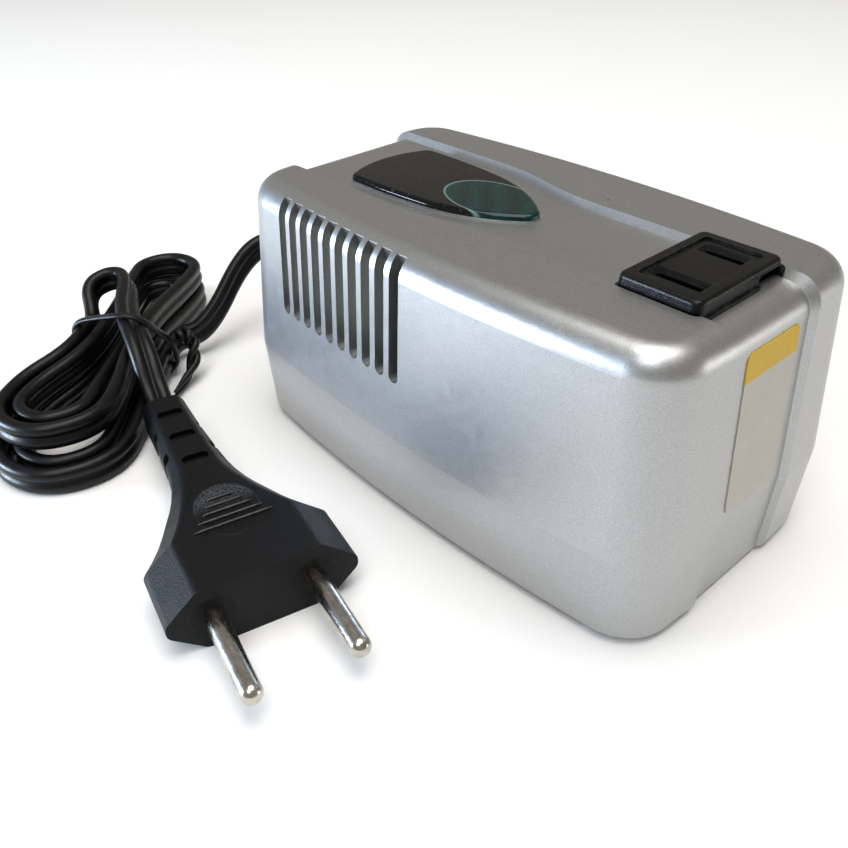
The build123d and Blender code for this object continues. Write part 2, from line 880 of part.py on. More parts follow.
def cord_section(start, heading, across):
    """Figure-eight section of the twin cord; across is the direction of its width."""
    plane = Plane(origin=start, x_dir=across, z_dir=heading)
    offset = (cord_width - cord_thick) / 2
    conductors = Pos(-offset, 0) * Circle(cord_thick / 2) + Pos(offset, 0) * Circle(cord_thick / 2)
    return plane * conductors


def cord_tube(path, start, heading, across):
    """Solid of one stretch of cord, with its volume printed beside section times length."""
    section = cord_section(start, heading, across)
    tube = sweep(section, path=path)
    print("cord length", round(path.length, 1), "volume over section times length",
          round(tube.volume / (section.area * path.length), 5))
    return tube.solid()


def biarc(first, first_heading, last, last_heading):
    """Two tangent arcs, or one line, between two points with given headings."""
    chord = last - first
    if first_heading.cross(chord).length + last_heading.cross(chord).length < chord.length / 1e6:
        return [Edge.make_line(first, last)]
    both = first_heading + last_heading
    square = 2 * (first_heading.dot(last_heading) - 1)
    linear = -2 * chord.dot(both)
    constant = chord.dot(chord)
    if abs(square) < 1e-9:
        reach = -constant / linear
    else:
        root = sqrt(linear * linear - 4 * square * constant)
        reach = min(value for value in ((-linear + root) / (2 * square), (-linear - root) / (2 * square))
                    if value > 0)
    first_handle = first + first_heading * reach
    last_handle = last - last_heading * reach
    joint = (first_handle + last_handle) * 0.5
    joint_heading = (last_handle - first_handle).normalized()
    return [Edge.make_tangent_arc(first, first_heading, joint),
            Edge.make_tangent_arc(joint, joint_heading, last)]


def hank_world(point):
    """From the hank's own frame, +X along its near lobe, to the row's."""
    turn = radians(hank_heading)
    x = hank_x + point.X * cos(turn) - point.Y * sin(turn)
    y = hank_y + point.X * sin(turn) + point.Y * cos(turn)
    return Vector(x, y, point.Z)


def hank_side(index):
    """Half width in the near lobe, half width in the far lobe and offset at the waist."""
    inward = min(index, 2 * hank_climb - index)
    half = hank_half - inward * hank_step
    return half, half - hank_far_inset, waist_half - inward * waist_step


def hank_stations():
    """Points and headings along the hank, in its own frame.

    Each of the eight sides of the four loops passes the waist once. The sides spiral in
    on the lower layer, climb along the innermost pass and spiral out on the upper one.
    """
    stations = []
    for index in range(hank_sides):
        side = 1 if index % 2 == 0 else -1
        near_half, far_half, waist = hank_side(index)
        low = hank_low if index <= hank_climb else hank_high
        high = hank_low if index < hank_climb else hank_high
        level = Vector(side, 0, 0)
        start_near = hank_near_length - (hank_near_inset if low > hank_low else 0)
        end_near = hank_near_length - (hank_near_inset if high > hank_low else 0)
        if side > 0:
            start = Vector(-hank_far_length, side * far_half, low)
            end = Vector(end_near, side * near_half + hank_shift, high)
        else:
            start = Vector(start_near, side * near_half + hank_shift, low)
            end = Vector(-hank_far_length, side * far_half, high)
        middle = Vector(0, side * waist, (low + high) / 2 + waist_lift)
        if index == 0:
            stations.append((middle - level * hank_run, level))
        else:
            stations.append((start, level))
        rise = Vector(side * (hank_near_length + hank_far_length), 0, high - low).normalized()
        stations.append((middle, rise))
        if index == hank_sides - 1:
            stations.append((middle + level * hank_run, level))
        else:
            next_near, next_far, next_waist = hank_side(index + 1)
            here = near_half if side > 0 else far_half
            there = next_near if side > 0 else next_far
            shift = hank_shift if side > 0 else 0
            radius = (here + there) / 2
            stations.append((end, level))
            stations.append((Vector(end.X + side * radius, side * (here - there) / 2 + shift, high),
                             Vector(0, -side, 0)))
    return stations


def conductor_points(path):
    """Centres of both conductors at even steps along a cord, with the distance run."""
    offset = (cord_width - cord_thick) / 2
    count = int(path.length / gap_sample)
    points = []
    for step in range(count + 1):
        share = step / count
        place = path @ share
        heading = path % share
        up = (Vector(0, 0, 1) - heading * heading.Z).normalized()
        for side in (-1, 1):
            centre = place + up * (side * offset)
            points.append((centre.X, centre.Y, centre.Z, share * path.length))
    return points


def least_gap(first, second, same):
    """Least air between the conductors of two stretches, or of one to itself."""
    least = body_length
    for x, y, z, run in first:
        for x2, y2, z2, run2 in second:
            if same and run2 - run < gap_skip:
                continue
            if abs(x - x2) < least and abs(y - y2) < least:
                least = min(least, sqrt((x - x2) ** 2 + (y - y2) ** 2 + (z - z2) ** 2))
    return least - cord_thick


def hank_path():
    stations = [(hank_world(place), hank_world(place + heading) - hank_world(place))
                for place, heading in hank_stations()]
    edges = []
    for (first, first_heading), (last, last_heading) in zip(stations, stations[1:]):
        edges += biarc(first, first_heading, last, last_heading)
    return Wire(edges), stations[0], stations[-1]


def bend_route(points):
    """Straight runs joined by tangent arcs, each as round as the runs beside it allow."""
    radii = []
    for before, corner, after in zip(points, points[1:], points[2:]):
        first = corner - before
        second = after - corner
        turn = radians(first.get_angle(second))
        radii.append(bend_share * min(first.length, second.length) / tan(turn / 2))
        print("turn", round(degrees(turn), 1), "radius", round(radii[-1], 1))
    return FilletPolyline(*points, radius=radii)


def exit_point():
    """Middle of the boot's tip, where the cord comes out."""
    return Vector(-(band_floor_x(exit_height) + collar_thick + boot_length), 0, exit_height)


def feed_route():
    """From the boot down to the hank, as the photograph shows it."""
    start = exit_point()
    end = hank_world(hank_stations()[0][0])
    heading = hank_world(hank_stations()[1][0]) - end
    lead_out = start - Vector(feed_run, 0, 0)
    lead_in = end - heading.normalized() * feed_end_run
    return [start, lead_out] + [Vector(*place) for place in feed_places] + [lead_in, end]


def tail_route():
    """From the hank, round over the far lobe and the waist, down to the plug."""
    end_station, end_heading = hank_stations()[-1]
    turn = radians(plug_heading)
    back = Vector(cos(turn), sin(turn), 0) * -1
    plug_end = Vector(plug_x, plug_y, plug_axis) + back * plug_length
    start = hank_world(end_station)
    lead_out = hank_world(end_station + end_heading * tail_run)
    middle = [hank_world(Vector(*place)) for place in tail_places]
    return [start, lead_out] + middle + [plug_end + back * tail_end_run, plug_end]


def cord_nodes():
    """The three stretches of the cord and the air between their turns."""
    hank, (hank_start, hank_start_heading), (hank_end, hank_end_heading) = hank_path()
    up = Vector(0, 0, 1)
    tubes = {"cord_hank": cord_tube(hank, hank_start, hank_start_heading, up)}
    feed_points = feed_route()[::-1]
    feed = bend_route(feed_points)
    heading = (feed_points[1] - feed_points[0]).normalized()
    tubes["cord_feed"] = cord_tube(feed, feed_points[0], heading, up)
    tail_points = tail_route()
    tail = bend_route(tail_points)
    heading = (tail_points[1] - tail_points[0]).normalized()
    tubes["cord_tail"] = cord_tube(tail, tail_points[0], heading, up)
    wound = conductor_points(hank)
    fed = conductor_points(feed)
    last = conductor_points(tail)
    print("least gap, hank to itself", round(least_gap(wound, wound, True), 2))
    print("least gap, feed to itself", round(least_gap(fed, fed, True), 2))
    print("least gap, tail to itself", round(least_gap(last, last, True), 2))
    apart = hank_run + gap_skip / 2
    inner = [point for point in wound if apart < point[3] < hank.length - apart]
    print("least gap, feed to hank", round(least_gap(fed, inner, False), 2))
    print("least gap, tail to hank", round(least_gap(last, inner, False), 2))
    print("least gap, feed to tail", round(least_gap(fed, last, False), 2))
    print("cord in all", round(hank.length + feed.length + tail.length, 1))
    return tubes


def tie_points():
    """Corners of the tie round the waist, as offset and height in the hank's own frame."""
    reach = tie_radius + tie_gap
    waist = hank_low + waist_lift
    layer = hank_high + waist_lift
    half = cord_thick / 2
    right_low = hank_side(0)[2] + half + reach
    right_high = hank_side(hank_climb + 2)[2] + half + reach
    left = -(hank_side(1)[2] + half + reach)
    top = tail_over_height + cord_width / 2 + reach
    over = half + reach
    low = tie_radius
    return [
        (left, low), (right_low, low), (right_low, waist + cord_width / 2),
        (right_high, layer + cord_width / 2), (tail_over_y + over, top), (tail_over_y - over, top),
        (left, layer + cord_width / 2),
    ]


def cord_tie():
    """Tie round the waist of the hank and over the tail, with a knot and two ends."""
    corners = [Vector(0, offset, height) for offset, height in tie_points()]
    ring_path = FilletPolyline(*corners, radius=tie_corner, close=True)
    start = ring_path @ 0
    ring = sweep(Plane(origin=start, z_dir=ring_path % 0) * Circle(tie_radius), path=ring_path)
    right_low = tie_points()[2]
    knot_y = right_low[0] + tie_knot_radius
    knot_z = right_low[1]
    knot = Pos(0, knot_y, knot_z) * Rot(0, 90, 0) * Cylinder(tie_knot_radius, tie_knot_length)
    knot = fillet(knot.edges(), tie_radius)
    tie = ring + knot
    for side in (-1, 1):
        first = Vector(side * tie_knot_length / 4, knot_y, knot_z)
        last = first + Vector(side * tie_end_length / 2, tie_end_length / 4, -tie_end_length)
        strand = Edge.make_line(first, last)
        tie += sweep(Plane(origin=first, z_dir=last - first) * Circle(tie_radius), path=strand)
    placed = Location((hank_x, hank_y, 0), (0, 0, hank_heading)) * tie
    return placed.solid()


# Bush

def end_slab(outer, inner, width, low, high):
    """Upright slab on the back end whose faces follow the sloping floor of the band."""
    points = [(-(band_floor_x(z) + reach), z) for reach, z in
              ((outer, low), (outer, high), (inner, high), (inner, low))]
    profile = Plane.XZ.offset(-width / 2) * make_face(Polyline(*points, close=True))
    return extrude(profile, width)


def bush_inner_x():
    """Where the bush ends inside the case, at the height of the leads."""
    return -(band_floor_x(exit_height) - wall - bush_tail)


def cord_bush():
    """Rubber bush clamped in the notch, with a tapered boot that guards the cord."""
    low = seam_height
    high = seam_height + boot_height
    bush = end_slab(collar_thick, 0, collar_width, low, high + bush_gap)
    bush += end_slab(0, -wall - bush_gap / 2, boot_width, low, high)
    bush += end_slab(-wall - bush_gap / 2, -wall - bush_tail, collar_width, low, high + bush_gap)
    bush -= block(bush_tail, collar_width, low, high + bush_gap, bush_inner_x() + bush_tail / 2)
    root = exit_point() + Vector(boot_length + collar_thick / 2, 0, 0)
    sections = []
    for place, width, height in (
        (root, boot_width, boot_height), (exit_point(), boot_tip_width, boot_tip_height)
    ):
        plane = Plane(origin=place, x_dir=(0, 1, 0), z_dir=(-1, 0, 0))
        sections.append((plane * RectangleRounded(width, height, boot_round)).face())
    bush += loft(sections, ruled=True)
    # Grooves across the boot that let it bend
    for index in range(boot_grooves):
        x = exit_point().X + boot_length * (index + 1) / (boot_grooves + 1)
        for side in (-1, 1):
            groove = block(boot_groove_width, boot_width, exit_height - boot_height / 2 - cut_overrun,
                           exit_height + boot_height / 2 + cut_overrun, x,
                           side * (boot_width / 2 + boot_web / 2))
            bush -= groove
    return bush.solid()


# Internal leads

def lead(points):
    """Round insulated lead along a route of straight runs and arcs."""
    path = bend_route([Vector(*place) for place in points])
    section = Plane(origin=points[0], z_dir=Vector(*points[1]) - Vector(*points[0])) * Circle(lead_radius)
    return sweep(section, path=path).solid()


def lead_in(side):
    """From the bush past the core to a tag of the lower winding."""
    start_x = bush_inner_x()
    core_end = core_x - 3 * lam_unit
    side_y = core_stack / 2
    tag_x, tag_y = tag_place(-1, side)
    over = bobbin_heights()[3] + tag_height / 2
    return lead([
        (start_x, side * lead_apart, exit_height),
        (start_x + lead_start_run, side * lead_apart, exit_height),
        (core_end - lead_clear, side * side_y * 2 / 3, exit_height + tag_height),
        (core_end, side * (side_y + lead_clear), over - tag_height),
        (core_end + lam_unit, side * (side_y + lead_clear * 3 / 2), over),
        (tag_x - tag_width / 2 - lead_start_run, side * abs(tag_y), over),
        (tag_x - tag_width / 2, side * abs(tag_y), over),
    ])


def lead_out(side):
    """From a tag of the upper winding to an outlet contact."""
    tag_x, tag_y = tag_place(1, side)
    over = bobbin_heights()[3] + tag_height / 2
    core_end = core_x + 3 * lam_unit
    tab_x = outlet_x - contact_width / 4
    tab_y = side * slot_spacing / 2
    tab_z = outlet_bottom() - contact_drop + 2 * lead_radius
    return lead([
        (tag_x + tag_width / 2, side * abs(tag_y), over),
        (tag_x + tag_width / 2 + lead_start_run, side * abs(tag_y), over),
        (core_end, side * (core_stack / 2 + lead_clear), over - lead_clear),
        (core_end + lam_unit, side * core_stack / 2, tab_z),
        (tab_x - lead_start_run, tab_y, tab_z),
        (tab_x, tab_y, tab_z),
    ])


# Plug, built along X with its face at zero and then placed

def placed_plug(shape):
    return Location((plug_x, plug_y, plug_axis), (0, 0, plug_heading)) * shape


def plug_section(place, half, flat, side_half, height, radius):
    """Eight-sided section: half width, half of the flats and half of the blunt sides."""
    top = height / 2
    plane = Plane(origin=(place, 0, 0), x_dir=(0, 1, 0), z_dir=(1, 0, 0))
    outline = Polyline(
        (half, -side_half), (half, side_half), (flat, top), (-flat, top),
        (-half, side_half), (-half, -side_half), (-flat, -top), (flat, -top), close=True,
    )
    face = make_face(outline)
    return (plane * fillet(face.vertices(), radius)).face()


def plug_stations():
    """Sections from the cord end to the face; the taper is concave."""
    stations = []
    for share, half_share, flat_share, side_share, height_share in plug_shape_shares:
        stations.append((-plug_length * share, plug_width / 2 * half_share,
                         plug_width / 2 * flat_share, plug_height / 2 * side_share,
                         plug_height * height_share))
    return stations


def carrier_form():
    """Insert that holds both pins: two discs seen at the face, joined behind it."""
    form = block(carrier_bridge, pin_spacing, -carrier_height / 2, carrier_height / 2,
                 -carrier_depth + carrier_bridge / 2)
    for side in (-1, 1):
        disc = Cylinder(carrier_disc_radius, carrier_depth)
        form += Pos(-carrier_depth / 2, side * pin_spacing / 2, 0) * Rot(0, 90, 0) * disc
    return form


def pin_form(side):
    """One pin with a domed tip and a thinner root held in the insert."""
    y = side * pin_spacing / 2
    shaft = pin_length - pin_radius
    pin = Pos(shaft / 2, y, 0) * Rot(0, 90, 0) * Cylinder(pin_radius, shaft)
    pin += Pos(shaft, y, 0) * Sphere(pin_radius)
    root = Cylinder(pin_root_radius, pin_root_length)
    return pin + Pos(-pin_root_length / 2, y, 0) * Rot(0, 90, 0) * root


def plug_body():
    body = loft([plug_section(*station, plug_edge) for station in plug_stations()], ruled=True)
    # Slots in the flats and notches in the sides make the strain relief bend
    for index in range(relief_rows):
        place = -(relief_first + index * relief_pitch)
        for side in (-1, 1):
            outer = side * plug_height * relief_height_share / 2
            slot = Plane.XY.offset(outer - relief_slot_depth) * Pos(place, 0) * SlotOverall(
                relief_slot_length, relief_slot_width, rotation=90)
            body -= extrude(slot, 2 * relief_slot_depth)
            if index < relief_rows - 1:
                edge = side * relief_side
                body -= Pos(place - relief_pitch / 2, edge, 0) * Box(
                    relief_slot_width, 2 * relief_slot_depth, plug_height)
    body -= carrier_form()
    return placed_plug(body).solid()


def plug_pin_carrier():
    form = carrier_form()
    for side in (-1, 1):
        form -= pin_form(side)
    return placed_plug(form).solid()


def plug_pins():
    return group([placed_plug(pin_form(side)) for side in (-1, 1)])


nodes = {
    "top_cover": top_cover(),
    "base_shell": base_shell(),
    "case_screws": case_screws(),
    "vent_barriers": vent_barriers(),
    "badge_plate": badge_plate(),
    "badge_dome": badge_dome(),
    "end_label": end_label(),
    "outlet_housing": outlet_housing(),
    "outlet_contacts": outlet_contacts(),
    "outlet_rear_cap": outlet_rear_cap(),
    "core_e_stack": core_e_stack(),
    "core_i_stack": core_i_stack(),
    "core_bracket": core_bracket(),
    "bracket_screws": bracket_screws(),
    "bobbin": bobbin(),
    "bobbin_tags": bobbin_tags(),
    "primary_winding": primary_winding(),
    "secondary_winding": secondary_winding(),
    "winding_tapes": winding_tapes(),
    "thermal_fuse": thermal_fuse(),
    "lead_in_line": lead_in(1),
    "lead_in_neutral": lead_in(-1),
    "lead_out_line": lead_out(1),
    "lead_out_neutral": lead_out(-1),
    "cord_bush": cord_bush(),
    "cord_tie": cord_tie(),
    "plug_body": plug_body(),
    "plug_pin_carrier": plug_pin_carrier(),
    "plug_pins": plug_pins(),
}
nodes.update(cord_nodes())

for name, shape in nodes.items():
    export_step(shape, "parts/" + name + ".step")
    print(name, "valid", shape.is_valid, "volume", round(shape.volume, 1))
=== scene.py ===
from math import cos, pi, radians, sin

import bpy
from mathutils import Matrix, Vector
from mathutils.bvhtree import BVHTree


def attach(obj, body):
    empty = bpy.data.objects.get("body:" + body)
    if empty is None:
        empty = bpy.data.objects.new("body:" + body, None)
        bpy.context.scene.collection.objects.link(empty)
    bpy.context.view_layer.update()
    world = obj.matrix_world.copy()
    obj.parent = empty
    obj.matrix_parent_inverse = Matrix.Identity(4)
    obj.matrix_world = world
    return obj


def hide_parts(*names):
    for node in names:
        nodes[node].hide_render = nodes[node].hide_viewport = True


# A travel voltage converter with its mains lead in a tied hank, as the photograph shows it.
# Everything is in metres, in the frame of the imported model: X along the case towards the
# outlet end, Y across it, Z up, and the origin on the floor under the middle of the case.

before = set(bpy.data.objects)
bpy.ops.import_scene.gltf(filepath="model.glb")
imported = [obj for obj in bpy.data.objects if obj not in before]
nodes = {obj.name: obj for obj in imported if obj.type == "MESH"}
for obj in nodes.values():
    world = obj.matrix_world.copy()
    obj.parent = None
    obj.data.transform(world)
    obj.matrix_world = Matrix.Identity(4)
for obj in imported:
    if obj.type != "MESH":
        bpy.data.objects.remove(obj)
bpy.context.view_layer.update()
scene = bpy.context.scene

# Camera, as fitted to the photograph: angles in degrees, lens and sensor in millimetres
CAMERA_PLACE = (0.10823, -0.12091, 0.12235)
CAMERA_AZIMUTH = 48.63
CAMERA_ELEVATION = 35.36
CAMERA_ROLL = -1.415
CAMERA_LENS = 37.88
CAMERA_SENSOR = 36.0
CAMERA_NEAR_CLIP = 0.01

# Light of the room: a bluish window on one side, which fades into a dimmer, warmer room
WINDOW_SIDE = (-0.72, -0.60, -0.35)
WINDOW_FADE = (0.5, 0.98)
WINDOW_COLOUR = (0.50, 0.66, 0.92, 1.0)
ROOM_COLOUR = (0.30, 0.285, 0.25, 1.0)
FLOOR_HALF = 3.0

# Lamps, all aimed at the origin: name, place, width, power in watts and colour
LAMPS = [
    ("window_light", (-0.60, -0.80, 0.07), 0.34, 19.0, (0.66, 0.81, 1.0)),
    ("end_light", (0.75, 0.62, 0.06), 0.4, 1.5, (1.0, 0.99, 0.96)),
    ("key_light", (0.25, -0.60, 0.95), 0.5, 3.0, (0.92, 0.96, 1.0)),
    ("top_light", (0.05, 0.0, 1.1), 0.9, 9.0, (1.0, 0.98, 0.95)),
]

# What the finishes follow on the case: the row of vents with their bare flanks in painted shade,
# the badge's oval and the label's head. FROM and FULL are where a finish begins and where it is
# whole
VENTS_MIDDLE = -0.0196
VENTS_HALF = 0.0205
VENTS_FADE = 0.0007
FLANKS_FROM = 0.0190
FLANKS_FULL = 0.0200
OVAL_MIDDLE = -0.0070
OVAL_HALF_LENGTH = 0.0115
OVAL_HALF_WIDTH = 0.0073
LABEL_HEAD_FROM = 0.0461
LABEL_HEAD_FULL = 0.0463

# Cord: a flat twin cord, and its route from the boot to the hank and from the hank to the
# plug. The feed and the plug's end are in the part's frame, and the rest is in the hank's own
CORD_WIDTH = 0.0064
CORD_THICK = 0.0034
CORD_EXIT = (-0.075632, 0.0, 0.0246)
FEED_PLACES = [(-0.0856, 0.0, 0.0246), (-0.0895, -0.0090, 0.0225), (-0.0855, -0.0255, 0.0070)]
HANK_START = [(-0.0110, 0.01075, 0.0052), (-0.0040, 0.01075, 0.0052)]
HANK_END = [(-0.0040, -0.0084, 0.0124), (-0.0070, -0.0084, 0.0124)]
TAIL_PLACES = [
    (-0.0145, -0.0116, 0.0176), (-0.0200, -0.0074, 0.0187), (-0.0186, -0.0016, 0.0188),
    (0.0, 0.0034, 0.0188), (0.0130, 0.0110, 0.0180),
]
PLUG_END = [(-0.06240, -0.05275, 0.0069), (-0.05714, -0.05398, 0.0069)]
CORD_SPLINE_STEPS = 12

# Section of the cord: how far round each conductor's jacket goes, and in how many steps
JACKET_REACH = 143
JACKET_STEPS = 16

# Where the cord begins to turn from on edge to flat, and over how much, as shares of its length
TURN_START = 0.925
TURN_RUN = 0.065

# Hank: eight passes through the waist, which are four loops in two layers. Its own frame has
# +X along the near lobe. Each pass lies a step inside the one before up to the climb, and
# from there on a step outside it in the layer above
HANK_CENTRE = (-0.0897, -0.0483, 0.0)
HANK_HEADING = -45.0
HANK_HALF = 0.0155
HANK_STEP = 0.00225
HANK_FAR_INSET = 0.0018
HANK_NEAR_LENGTH = 0.032
HANK_NEAR_INSET = 0.004
HANK_FAR_LENGTH = 0.038
HANK_SHIFT = -0.0037
WAIST_HALF = 0.01075
WAIST_STEP = 0.00235
WAIST_LIFT = 0.0020
WAIST_RUN = 0.0095
LAYER_LOW = 0.0032
LAYER_HIGH = 0.0104
HANK_PASSES = 8
HANK_CLIMB = 4

# Tie round the waist, in the hank's own frame: its section, the middle of the bundle there,
# from how far outside it the lead is looked for, and how far the tie lies towards the near
# lobe at angles round it, averaged over a stretch of degrees
TIE_RADIUS = 0.0008
TIE_WIDEN = 1.25
TIE_FLATTEN = 0.75
TIE_CLEAR = 0.0002
TIE_STEPS = 120
TIE_SMOOTHING = range(-4, 5)
TIE_CENTRE = (0.0015, 0.0088)
TIE_LOOK_FROM = 0.024
TIE_LOOK_REACH = 0.022
TIE_LEAN_SPREAD = range(-24, 25, 4)
TIE_LEANS = [(0, -0.0030), (40, 0.0035), (60, 0.0078), (80, 0.0062), (115, 0.0018), (180, -0.0015),
             (235, 0.0036), (300, 0.0008), (360, -0.0030)]

# The tie's two ends, twisted together along a line from the knot to the floor
TWIST_LINE = [
    (-0.0030, 0.0141, 0.0112), (-0.0038, 0.0166, 0.0112), (-0.0022, 0.0184, 0.0078),
    (0.0012, 0.0180, 0.0040), (0.0055, 0.0168, 0.0022), (0.0105, 0.0156, 0.0018),
]
TWIST_SPLINE_STEPS = 16
TWIST_TURNS = 1.9
STRAND_RADIUS = 1.15 * TIE_RADIUS
STRAND_LIFT = 1.2 * TIE_RADIUS

# Plug: the middle of its face, and where it points. Its own frame starts there, +X out of
# the face, and gives the grip patch, the joint in front of the strain relief and the ribs,
# each rib by its place along the plug, its half length and its height
PLUG_PLACE = (0.00565, -0.06873, 0.0069)
PLUG_HEADING = -13.22
PATCH_MIDDLE = -0.0185
PATCH_HALF_LENGTH = 0.0082
PATCH_HALF_WIDTH = 0.0060
PATCH_FRONT = -0.0185
PATCH_BACK = -0.0215
JOINT_PLACE = -0.0352
JOINT_HALF = 0.00010
JOINT_FADE = 0.00028
JOINT_TOP = 0.0035
JOINT_TOP_FADE = 0.0045
RIB_RADIUS = 0.00036
RIB_STEPS = 24
GRIP_RIBS = [
    (-0.0140, 0.0075, 0.00700), (-0.0160, 0.0061, 0.00700), (-0.0180, 0.0047, 0.00700),
    (-0.0200, 0.0036, 0.00695), (-0.0221, 0.0025, 0.00685),
]


def rides(piece):
    """Links a new piece to the scene and to the body that it belongs to."""
    scene.collection.objects.link(piece)
    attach(piece, "root")
    return piece


# Shader building blocks

def new_material(name):
    """An empty node material with its principled shader and its object coordinates."""
    material = bpy.data.materials.new(name)
    material.use_nodes = True
    tree = material.node_tree
    shader = tree.nodes["Principled BSDF"]
    place = tree.nodes.new("ShaderNodeTexCoord").outputs["Object"]
    return material, tree, shader, place


def split(tree, vector):
    """The three parts of a vector."""
    node = tree.nodes.new("ShaderNodeSeparateXYZ")
    tree.links.new(vector, node.inputs["Vector"])
    return node.outputs["X"], node.outputs["Y"], node.outputs["Z"]


def stretched(tree, place, stretch, turn=(0.0, 0.0, 0.0)):
    """The coordinates scaled by a factor along each axis, and then turned."""
    mapping = tree.nodes.new("ShaderNodeMapping")
    tree.links.new(place, mapping.inputs["Vector"])
    mapping.inputs["Rotation"].default_value = turn
    mapping.inputs["Scale"].default_value = stretch
    return mapping.outputs["Vector"]


def noise(tree, place, size, detail=3.0, roughness=0.5):
    """Noise whose features are about that size, in metres."""
    node = tree.nodes.new("ShaderNodeTexNoise")
    tree.links.new(place, node.inputs["Vector"])
    node.inputs["Scale"].default_value = 1.0 / size
    node.inputs["Detail"].default_value = detail
    node.inputs["Roughness"].default_value = roughness
    return node.outputs["Fac"]


def cells(tree, place, size):
    """Distance to the nearest of points spread that far apart, as a share of it."""
    node = tree.nodes.new("ShaderNodeTexVoronoi")
    tree.links.new(place, node.inputs["Vector"])
    node.inputs["Scale"].default_value = 1.0 / size
    return node.outputs["Distance"]


def waves(tree, place, size, direction="X", distortion=0.0):
    """Straight bands that far apart."""
    node = tree.nodes.new("ShaderNodeTexWave")
    node.bands_direction = direction
    tree.links.new(place, node.inputs["Vector"])
    node.inputs["Scale"].default_value = pi / 10 / size
    node.inputs["Distortion"].default_value = distortion
    return node.outputs["Fac"]


def ranged(tree, value, low, high, to_low, to_high):
    """The value moved from one range to another and kept inside it."""
    node = tree.nodes.new("ShaderNodeMapRange")
    tree.links.new(value, node.inputs["Value"])
    node.inputs["From Min"].default_value = low
    node.inputs["From Max"].default_value = high
    node.inputs["To Min"].default_value = to_low
    node.inputs["To Max"].default_value = to_high
    return node.outputs["Result"]


def reckoned(tree, operation, first, second):
    """The result of one sum on two values, each a socket or a number."""
    node = tree.nodes.new("ShaderNodeMath")
    node.operation = operation
    for index, value in enumerate((first, second)):
        if isinstance(value, float):
            node.inputs[index].default_value = value
        else:
            tree.links.new(value, node.inputs[index])
    return node.outputs["Value"]


def mixed(tree, share, first, second):
    """One colour going over to another, each a socket or four numbers."""
    node = tree.nodes.new("ShaderNodeMix")
    node.data_type = "RGBA"
    tree.links.new(share, node.inputs["Factor"])
    for socket, value in (("A", first), ("B", second)):
        target = next(i for i in node.inputs if i.name == socket and i.type == "RGBA")
        if isinstance(value, tuple):
            target.default_value = value
        else:
            tree.links.new(value, target)
    return next(o for o in node.outputs if o.type == "RGBA")


def bumped(tree, shader, heights):
    """Relief from a list of (height socket, depth in metres), one on top of the other."""
    normal = None
    for height, depth in heights:
        node = tree.nodes.new("ShaderNodeBump")
        node.inputs["Distance"].default_value = depth
        tree.links.new(height, node.inputs["Height"])
        if normal is not None:
            tree.links.new(normal, node.inputs["Normal"])
        normal = node.outputs["Normal"]
    tree.links.new(normal, shader.inputs["Normal"])


def oval_reach(tree, along, across, middle, half_length, half_width):
    """Nought in the middle of an oval, one on its edge and more outside it."""
    forward = reckoned(tree, "DIVIDE", reckoned(tree, "SUBTRACT", along, middle), half_length)
    aside = reckoned(tree, "DIVIDE", across, half_width)
    return reckoned(tree, "ADD", reckoned(tree, "MULTIPLY", forward, forward),
                    reckoned(tree, "MULTIPLY", aside, aside))


def sharp_edges(tree, radius, low, high):
    """One at sharp outer edges and nought on flat faces."""
    bevel = tree.nodes.new("ShaderNodeBevel")
    bevel.samples = 4
    bevel.inputs["Radius"].default_value = radius
    geometry = tree.nodes.new("ShaderNodeNewGeometry")
    dot = tree.nodes.new("ShaderNodeVectorMath")
    dot.operation = "DOT_PRODUCT"
    tree.links.new(bevel.outputs["Normal"], dot.inputs[0])
    tree.links.new(geometry.outputs["Normal"], dot.inputs[1])
    return ranged(tree, dot.outputs["Value"], high, low, 0.0, 1.0)


def shade(colour, factor):
    """A colour made lighter or darker."""
    return tuple(min(1.0, channel * factor) for channel in colour) + (1.0,)


def plain_finish(name, colour, wear_and_highlight, roughness, spread=0.14, metallic=0.0, specular=0.5,
                 coat=0.0, grain=0.0003, grain_depth=0.00003, patch=0.004):
    """Moulded or machined surface: fine grain, broad patches of shine and tone, and edges in
    another colour, which is wear and, on the grip's ribs, a painted highlight. Grain and patch are
    sizes in metres."""
    material, tree, shader, place = new_material(name)
    tone = noise(tree, place, patch, 4.0)
    shine = noise(tree, place, patch / 3, 5.0, 0.6)
    fine = noise(tree, place, grain, 2.0)
    look = mixed(tree, ranged(tree, tone, 0.3, 0.7, 0.0, 1.0),
                 shade(colour, 0.88), shade(colour, 1.08))
    # Edges in another colour: wear, and on the grip's ribs a painted highlight
    scuffs_and_highlights = reckoned(tree, "MULTIPLY", sharp_edges(tree, 0.0006, 0.80, 0.985),
                      ranged(tree, noise(tree, place, 0.0016, 3.0), 0.42, 0.62, 0.0, 1.0))
    look = mixed(tree, scuffs_and_highlights, look, (*wear_and_highlight, 1.0))
    tree.links.new(look, shader.inputs["Base Color"])
    tree.links.new(ranged(tree, shine, 0.3, 0.7, roughness - spread / 2, roughness + spread / 2),
                   shader.inputs["Roughness"])
    shader.inputs["Metallic"].default_value = metallic
    shader.inputs["Coat Weight"].default_value = coat
    shader.inputs["Specular IOR Level"].default_value = specular
    bumped(tree, shader, [(fine, grain_depth), (tone, grain_depth * 3)])
    return material


